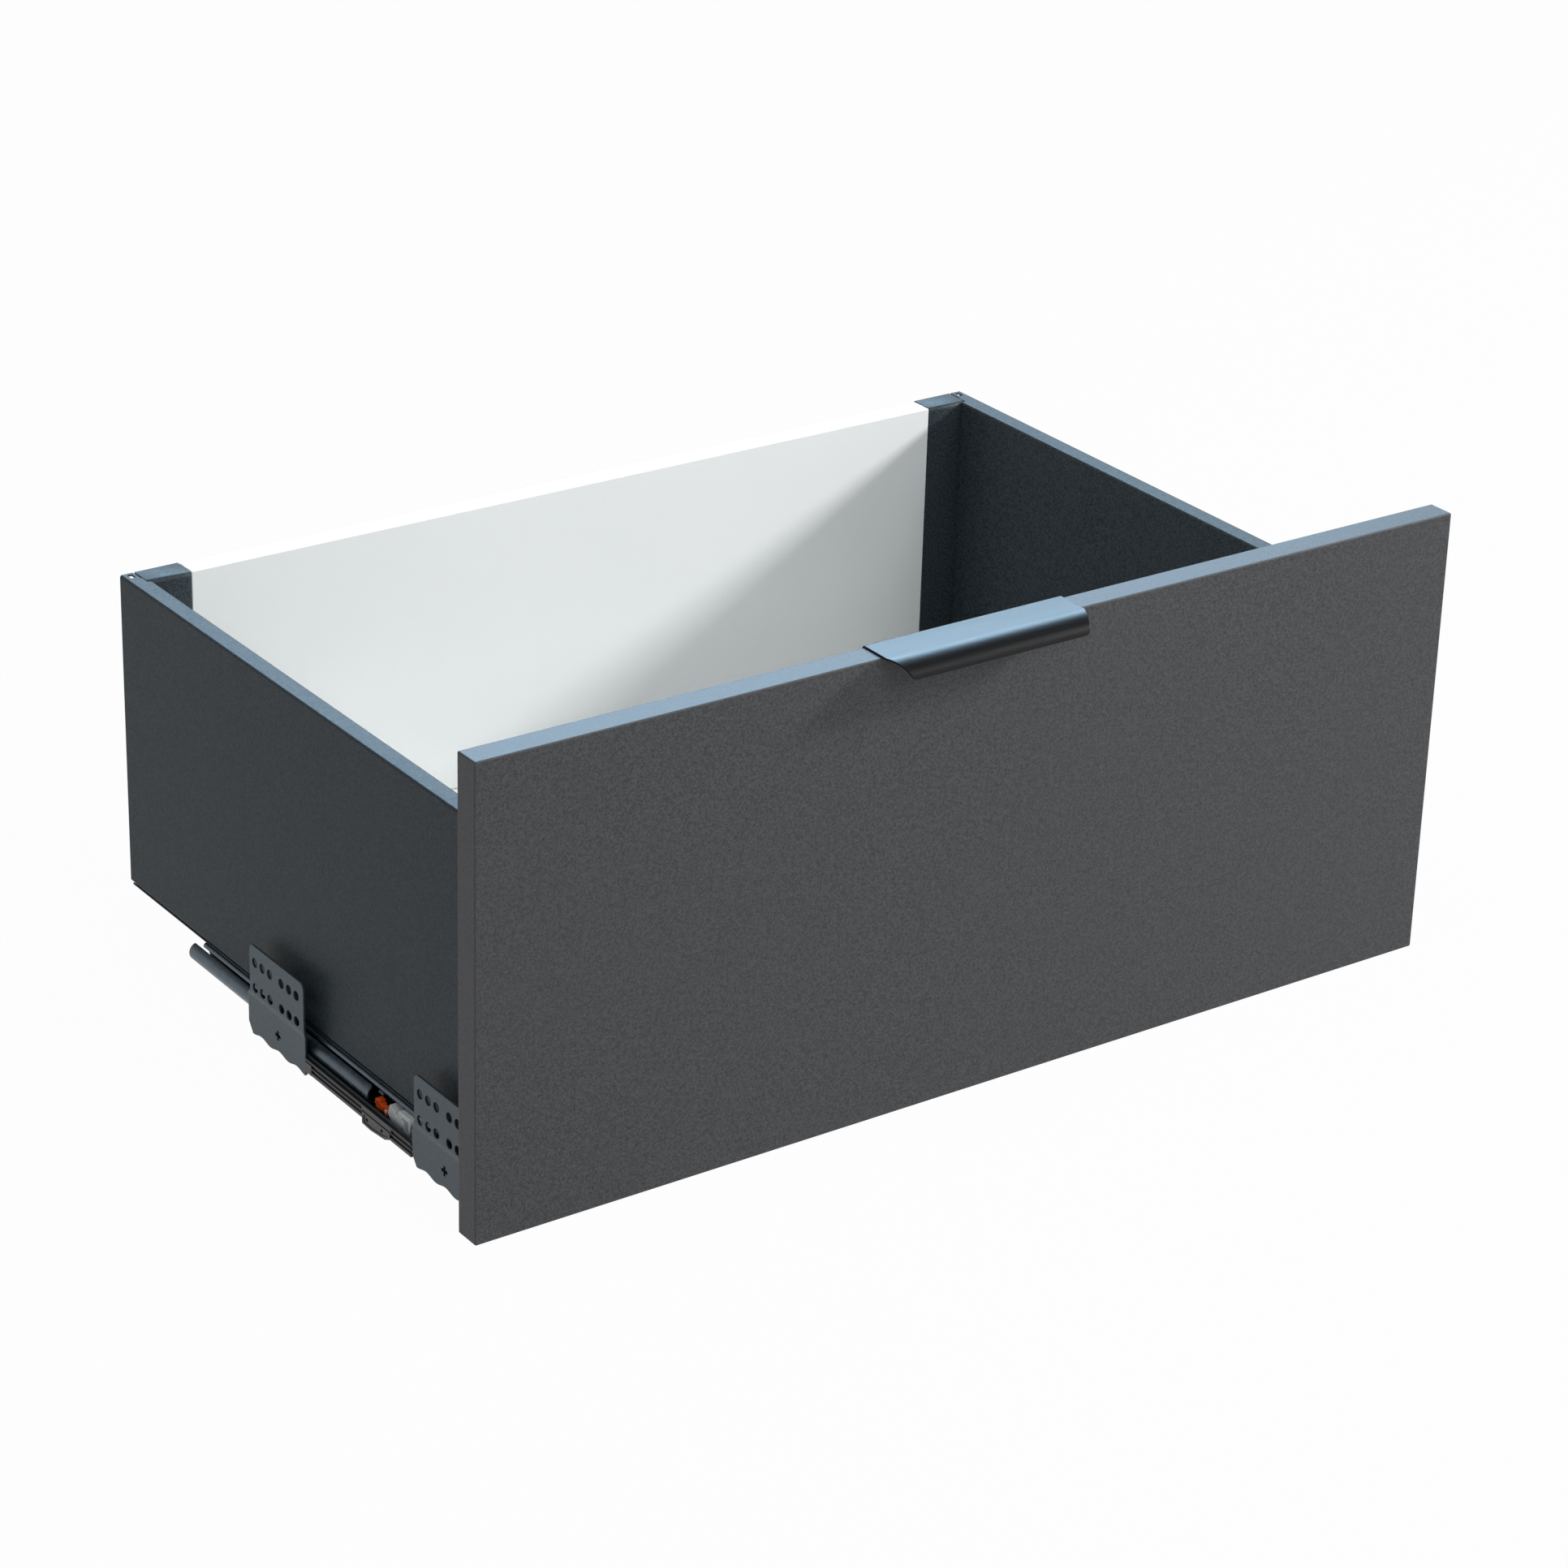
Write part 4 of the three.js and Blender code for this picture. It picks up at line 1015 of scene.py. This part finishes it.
def release_lever(sizes):
    """The orange lever: a head whose radius swells by a cosine into thumb ribs, an arm and a hub."""
    low, high = span("right_release_lever")
    y, z = LEVER_PIVOT
    at = (y + 8.5 * MM, z + 0.9 * MM)
    t = np.linspace(0, 2 * np.pi, 132, endpoint=False)
    r = 3.75 * MM + 0.55 * MM * np.cos(sizes.lever_ribs * t)
    head = np.stack([at[0] + r * np.cos(t), at[1] + r * np.sin(t)], 1)
    x0, x1 = low[0] + 0.8 * MM, high[0] - 1.4 * MM
    loops = [head, circle(*at, 1.5 * MM, 32)]
    skin = blank(loops, high[0] - low[0] - 2.4 * MM, [0.3 * MM, 0.3 * MM], steps=4)
    skin = skin.along("x", low[0] + 1.2 * MM)
    skin += turned(pin(1.7 * MM, 0, high[0] - low[0] - 3.4 * MM, 0.3 * MM), "x", (low[0] + 1.7 * MM, *at), 28)
    hub = washer(1.75 * MM, 3.0 * MM, 0, x1 - x0 - 1.2 * MM, 0.2 * MM)
    skin += turned(hub, "x", (x0 + 1.2 * MM, y, z), 36, ring=True)
    neck = rounded([(y + 2.2 * MM, z - 1.8 * MM, 0.5 * MM), (at[0] - MM, z - 1.4 * MM, 0.5 * MM),
                    (at[0] - MM, z + 2.8 * MM, 0.5 * MM), (y + 1.9 * MM, z + 2.2 * MM, 0.5 * MM)])
    return skin + blank([neck], x1 - x0 - 1.2 * MM, 0.35 * MM).along("x", x0 + 1.2 * MM)


def damper_cylinder():
    """The damper's barrel: a ring with a rolled neck at the rod's end and a grooved rear."""
    low, high = span("right_damper_cylinder")
    x, z = (low[0] + high[0]) / 2, (low[2] + high[2]) / 2
    r, length = (high[0] - low[0]) / 2, high[1] - low[1]
    bore = 2.2 * MM
    loop = rounded([(bore, 0, 0.2 * MM), (r, 0, 0.8 * MM), (r, 4 * MM, 0.3 * MM),
                    (r - 0.5 * MM, 4.6 * MM, 0.3 * MM), (r - 0.5 * MM, 6 * MM, 0.3 * MM),
                    (r, 6.6 * MM, 0.3 * MM), (r, length - 3 * MM, 0.4 * MM),
                    (r - 0.6 * MM, length, 0.6 * MM), (bore, length, 0.2 * MM)], steps=3)
    return turned(loop, "y", (x, high[1], z), 40, ring=True)


def damper_rod():
    """The damper's rod: a softened round bar."""
    low, high = span("right_damper_rod")
    x, z = (low[0] + high[0]) / 2, (low[2] + high[2]) / 2
    return turned(pin((high[0] - low[0]) / 2, 0, high[1] - low[1], 0.3 * MM), "y", (x, high[1], z), 28)


def closing_catch():
    """The catch that the drawer rail's tongue takes along: a block with a slot across its top."""
    low, high = span("right_closing_catch")
    y, deep = (low[1] + high[1]) / 2, 3.4 * MM
    top, bottom = high[2], low[2]
    shape = rounded([
        (low[1], bottom, 0.8 * MM), (high[1], bottom, 0.8 * MM), (high[1], top - 2 * MM, 1.5 * MM),
        (y + 4.6 * MM, top, 0.8 * MM), (y + 2.2 * MM, top, 0.5 * MM), (y + 1.7 * MM, top - deep, 0.5 * MM),
        (y - 1.7 * MM, top - deep, 0.5 * MM), (y - 2.2 * MM, top, 0.5 * MM), (y - 4.6 * MM, top, 0.8 * MM),
        (low[1], top - 2 * MM, 1.5 * MM),
    ], steps=4)
    return blank([shape], high[0] - low[0], 0.35 * MM).along("x", low[0])


def closing_spring(sizes, side):
    """The wound spring between the rail and the catch, made as a fixed coil."""
    low, high = span(f"{side}_closing_spring")
    centre = (low + high) / 2
    outer = (high[0] - low[0]) / 2
    wire = 0.34 * MM
    skin = coil(centre, outer - wire, wire, low[1], high[1], sizes.spring_turns)
    piece = finish_piece(f"{side}_closing_spring_coil", skin, None, "zinc", [f"{side}_closing_spring"])
    fixed, moving = (centre[0], high[1], centre[2]), (centre[0], low[1], centre[2])
    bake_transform(piece)
    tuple(fixed)
    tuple(moving)


def roller(node):
    """A steel roller across the rail with softened ends."""
    low, high = span(node)
    y, z = (low + high)[1:] / 2
    return turned(pin((high[1] - low[1]) / 2, 0, high[0] - low[0], 0.35 * MM), "x", (low[0], y, z), 36)


# ---- Operators ----


class DRAWER_OT_finishes(bpy.types.Operator):
    """Make the nine finishes"""

    bl_idname = "drawer.finishes"
    bl_label = "Finishes"

    def execute(self, context):
        c = context.scene.drawer_colours
        board_finish(c)
        powder_finish(
            "side_paint", c.side, metallic=0.0, roughness=0.4, contrast=0.6, grain=700.0, gloss=0.12,
        )
        powder_finish("plate_coat", c.plate, metallic=0.3, roughness=0.38, contrast=0.3, grain=1000.0)
        white_finish(c)
        pull_finish(c)
        zinc_finish(c)
        plastic_finish("black_plastic", c.black, 0.36)
        plastic_finish("orange_plastic", c.orange, 0.34)
        plastic_finish("pale_plastic", c.pale, 0.32)
        return {"FINISHED"}


class DRAWER_OT_front_board(bpy.types.Operator):
    """Make the front board"""

    bl_idname = "drawer.front_board"
    bl_label = "Front board"

    def execute(self, context):
        front_board(context.scene.drawer_sizes)
        return {"FINISHED"}


class DRAWER_OT_edge_pull(bpy.types.Operator):
    """Make the edge pull and its two screws"""

    bl_idname = "drawer.edge_pull"
    bl_label = "Edge pull"

    def execute(self, context):
        edge_pull(context.scene.drawer_sizes)
        return {"FINISHED"}


class DRAWER_OT_boards(bpy.types.Operator):
    """Make the back and bottom boards"""

    bl_idname = "drawer.boards"
    bl_label = "Back and bottom boards"

    def execute(self, context):
        boards()
        return {"FINISHED"}


class DRAWER_OT_side_walls(bpy.types.Operator):
    """Make the two double-walled sides with their plug caps, tilt cams and front fixings"""

    bl_idname = "drawer.side_walls"
    bl_label = "Side walls"

    def execute(self, context):
        sizes = context.scene.drawer_sizes
        piece_pair("side_profile", "drawer", "side_paint", lambda: side_wall(sizes))
        piece_pair("plug_cap", "drawer", "side_paint", plug_cap)
        piece_pair("tilt_cam", "{side}_cam", "zinc", tilt_cam)
        for side, _ in SIDES:
            node = f"{side}_front_fixing"
            from_frame(node, f"{node}_finished", "zinc", "drawer", 0.3 * MM, 2)
        return {"FINISHED"}


class DRAWER_OT_rear_brackets(bpy.types.Operator):
    """Make the posts that hold the back board, and their screws"""

    bl_idname = "drawer.rear_brackets"
    bl_label = "Rear brackets"

    def execute(self, context):
        for side, _ in SIDES:
            node = f"{side}_rear_bracket"
            from_frame(node, f"{node}_finished", "side_paint", "drawer", 0.45 * MM)
        piece_pair("back_screw", "drawer", "zinc", rear_screw)
        return {"FINISHED"}


class DRAWER_OT_wall_plates(bpy.types.Operator):
    """Make the four perforated wall plates"""

    bl_idname = "drawer.wall_plates"
    bl_label = "Wall plates"

    def execute(self, context):
        sizes = context.scene.slide_sizes
        for which in ("front", "rear"):
            piece_pair(f"{which}_wall_plate", "cabinet", "plate_coat", lambda: wall_plate(sizes, which))
        return {"FINISHED"}


class DRAWER_OT_rails(bpy.types.Operator):
    """Make the cabinet, middle and drawer rails"""

    bl_idname = "drawer.rails"
    bl_label = "Rails"

    def execute(self, context):
        sizes = context.scene.slide_sizes
        piece_pair("cabinet_rail", "cabinet", "plate_coat", lambda: cabinet_rail(sizes))
        piece_pair("middle_rail", "{side}_middle", "zinc", lambda: middle_rail(sizes))
        piece_pair("drawer_rail", "drawer", "zinc", lambda: drawer_rail(sizes))
        return {"FINISHED"}


class DRAWER_OT_cages(bpy.types.Operator):
    """Make the roller cages and their rollers"""

    bl_idname = "drawer.cages"
    bl_label = "Cages and rollers"

    def execute(self, context):
        for level in ("lower", "upper"):
            part = f"{level}_cage"
            piece_pair(part, "{side}_" + part + "_body", "black_plastic", lambda: cage(f"right_{part}"))
            for i in (1, 2):
                wheel = f"{level}_roller_{i}"
                body = "{side}_" + wheel + "_body"
                piece_pair(wheel, body, "pale_plastic", lambda: roller(f"right_{wheel}"))
        return {"FINISHED"}


class DRAWER_OT_tracks(bpy.types.Operator):
    """Make the grooved tracks and their blocks"""

    bl_idname = "drawer.tracks"
    bl_label = "Tracks"

    def execute(self, context):
        piece_pair("track", "cabinet", "black_plastic", track)
        piece_pair("track_block", "cabinet", "black_plastic", track_block)
        return {"FINISHED"}


class DRAWER_OT_latches(bpy.types.Operator):
    """Make the latches with their guide rollers and release levers"""

    bl_idname = "drawer.latches"
    bl_label = "Latches"

    def execute(self, context):
        sizes = context.scene.slide_sizes
        piece_pair("latch_body", "drawer", "pale_plastic", latch_body)
        piece_pair("guide_roller", "{side}_guide_roller_body", "black_plastic", guide_roller)
        piece_pair("release_lever", "{side}_lever", "orange_plastic", lambda: release_lever(sizes))
        return {"FINISHED"}


class DRAWER_OT_closers(bpy.types.Operator):
    """Make the soft closers: damper, rod, catch and spring"""

    bl_idname = "drawer.closers"
    bl_label = "Soft closers"

    def execute(self, context):
        piece_pair("damper_cylinder", "cabinet", "black_plastic", damper_cylinder)
        piece_pair("damper_rod", "{side}_catch", "zinc", damper_rod)
        piece_pair("closing_catch", "{side}_catch", "black_plastic", closing_catch)
        for side, _ in SIDES:
            closing_spring(context.scene.slide_sizes, side)
        return {"FINISHED"}


def flat_finish(name, colour, glow):
    """A floor or backdrop that keeps shadows: a matt colour mixed with a white of strength 1 for the camera
    and for reflections."""
    material = bpy.data.materials.new(name)
    material.use_nodes = True
    tree = material.node_tree
    tree.nodes.remove(tree.nodes["Principled BSDF"])
    start = Signal(tree, None)
    matt = start.node("ShaderNodeBsdfDiffuse", {}, {"Color": colour})
    white = start.node("ShaderNodeEmission", {}, {"Color": (1, 1, 1, 1), "Strength": 1.0})
    seen = [start.node("ShaderNodeLightPath", output=f"Is {ray} Ray") for ray in RAYS]
    share = (seen[0] + seen[1] + seen[2]) * glow
    mixed = start.node("ShaderNodeMixShader", {}, {0: share, 1: matt, 2: white})
    tree.links.new(mixed.socket, tree.nodes["Material Output"].inputs["Surface"])
    return material


def area_lamp(name, place, target, width, height, power, colour):
    """A rectangular lamp at place that faces target."""
    lamp = bpy.data.lights.new(name, "AREA")
    lamp.shape, lamp.size, lamp.size_y = "RECTANGLE", width, height
    lamp.energy, lamp.color = power, colour
    holder = bpy.data.objects.new(name, lamp)
    holder.location = place
    holder.rotation_euler = (Vector(target) - Vector(place)).to_track_quat("-Z", "Y").to_euler()
    bpy.context.scene.collection.objects.link(holder)
    return holder


def camera():
    """The camera, turned by its azimuth, elevation and roll."""
    azimuth, elevation, roll = math.radians(-35.732), math.radians(24.883), math.radians(1.74)
    flat = math.cos(elevation)
    back = Vector((math.sin(azimuth) * flat, -math.cos(azimuth) * flat, math.sin(elevation)))
    level = Vector((math.cos(azimuth), math.sin(azimuth), 0))
    up = back.cross(level)
    right = math.cos(roll) * level + math.sin(roll) * up
    up = back.cross(right)
    data = bpy.data.cameras.new("camera")
    data.lens, data.sensor_width = 104.19, 36.0
    data.clip_start, data.clip_end = 0.05, 60
    holder = bpy.data.objects.new("camera", data)
    turn = Matrix((right, up, back)).transposed()
    holder.matrix_world = Matrix.Translation((-1.48735, -2.0838, 1.2992)) @ turn.to_4x4()
    bpy.context.scene.collection.objects.link(holder)
    bpy.context.scene.camera = holder


class DRAWER_OT_stage(bpy.types.Operator):
    """Make the floor, the lamps, the world and the camera"""

    bl_idname = "drawer.stage"
    bl_label = "Stage"

    def execute(self, context):
        points = np.array([(-1, -1, 0), (1, -1, 0), (1, 1, 0), (-1, 1, 0)]) * 12.0
        points[:, 2] = -0.0006
        mesh = bpy.data.meshes.new("floor")
        mesh.from_pydata(points.tolist(), [], [(0, 1, 2, 3)])
        mesh.materials.append(flat_finish("floor", (0.45, 0.45, 0.45, 1), 0.975))
        floor = bpy.data.objects.new("floor", mesh)
        context.scene.collection.objects.link(floor)
        world = bpy.data.worlds.new("studio")
        world.use_nodes = True
        tree = world.node_tree
        start = Signal(tree, None)
        seen = [start.node("ShaderNodeLightPath", output=f"Is {ray} Ray") for ray in RAYS]
        camera_ray, glossy, through = seen
        mirrored = (glossy + through).above(0.5, 0.2)
        direction = start.node("ShaderNodeTexCoord", output="Generated")
        ceiling = start.node("ShaderNodeSeparateXYZ", {}, {"Vector": direction}, "Z").above(0.4, 0.4)
        ambient, ceiling_dims = 0.34, 0.85
        reflected = mirrored * (1 - ceiling * ceiling_dims)
        strength = camera_ray + reflected + (1 - camera_ray - mirrored) * ambient
        background = tree.nodes["Background"]
        tree.links.new(strength.socket, background.inputs["Strength"])
        background.inputs["Color"].default_value = (1, 1, 1, 1)
        context.scene.world = world
        middle = (0, 0, 0.15)
        # Each lamp: name, place, what it faces, width, height, watts, colour.
        area_lamp("key", (3.2, -1.2, 1.7), middle, 0.5, 0.5, 135, (1.0, 0.99, 0.97))
        area_lamp("front", (0.4, -2.6, 1.9), middle, 1.8, 1.2, 28, (0.97, 0.99, 1.0))
        area_lamp("inside", (-0.25, -0.2, 1.4), (0.3, 0.1, 0.1), 0.5, 0.4, 4, (0.95, 0.98, 1.0))
        gleam = area_lamp("gleam", (1.5, 2.6, 2.4), (0, 0, 0.2), 2.6, 1.1, 230, (0.5, 0.76, 1.0))
        gleam.visible_diffuse = False  # it shows only in reflections, as the gleam on the top edges
        context.scene.view_settings.view_transform = "Standard"
        camera()
        return {"FINISHED"}


class DRAWER_PT_panel(bpy.types.Panel):
    """Sizes, colours and steps of the drawer"""

    bl_label = "Drawer"
    bl_idname = "DRAWER_PT_panel"
    bl_space_type = "VIEW_3D"
    bl_region_type = "UI"
    bl_category = "Drawer"

    def draw(self, context):
        for group in (context.scene.drawer_sizes, context.scene.slide_sizes, context.scene.drawer_colours):
            box = self.layout.box()
            for name in group.bl_rna.properties.keys():
                if name not in ("rna_type", "name"):
                    box.prop(group, name)
        for step in STEPS:
            self.layout.operator(step.bl_idname)


STEPS = (
    DRAWER_OT_finishes, DRAWER_OT_front_board, DRAWER_OT_edge_pull, DRAWER_OT_boards, DRAWER_OT_side_walls,
    DRAWER_OT_rear_brackets, DRAWER_OT_wall_plates, DRAWER_OT_rails, DRAWER_OT_cages, DRAWER_OT_tracks,
    DRAWER_OT_latches, DRAWER_OT_closers, DRAWER_OT_stage,
)
GROUPS = {"drawer_sizes": DrawerSizes, "slide_sizes": SlideSizes, "drawer_colours": DrawerColours}
CLASSES = (*GROUPS.values(), *STEPS, DRAWER_PT_panel)


def register():
    """Adds the classes and the scene's properties."""
    for c in CLASSES:
        bpy.utils.register_class(c)
    for name, group in GROUPS.items():
        setattr(bpy.types.Scene, name, PointerProperty(type=group))


def unregister():
    """Takes them away again."""
    for name in GROUPS:
        delattr(bpy.types.Scene, name)
    for c in reversed(CLASSES):
        bpy.utils.unregister_class(c)


def main():
    """Registers the add-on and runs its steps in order."""
    register()
    for step in STEPS:
        family, name = step.bl_idname.split(".")
        getattr(getattr(bpy.ops, family), name)()


if __name__ == "__main__":
    main()
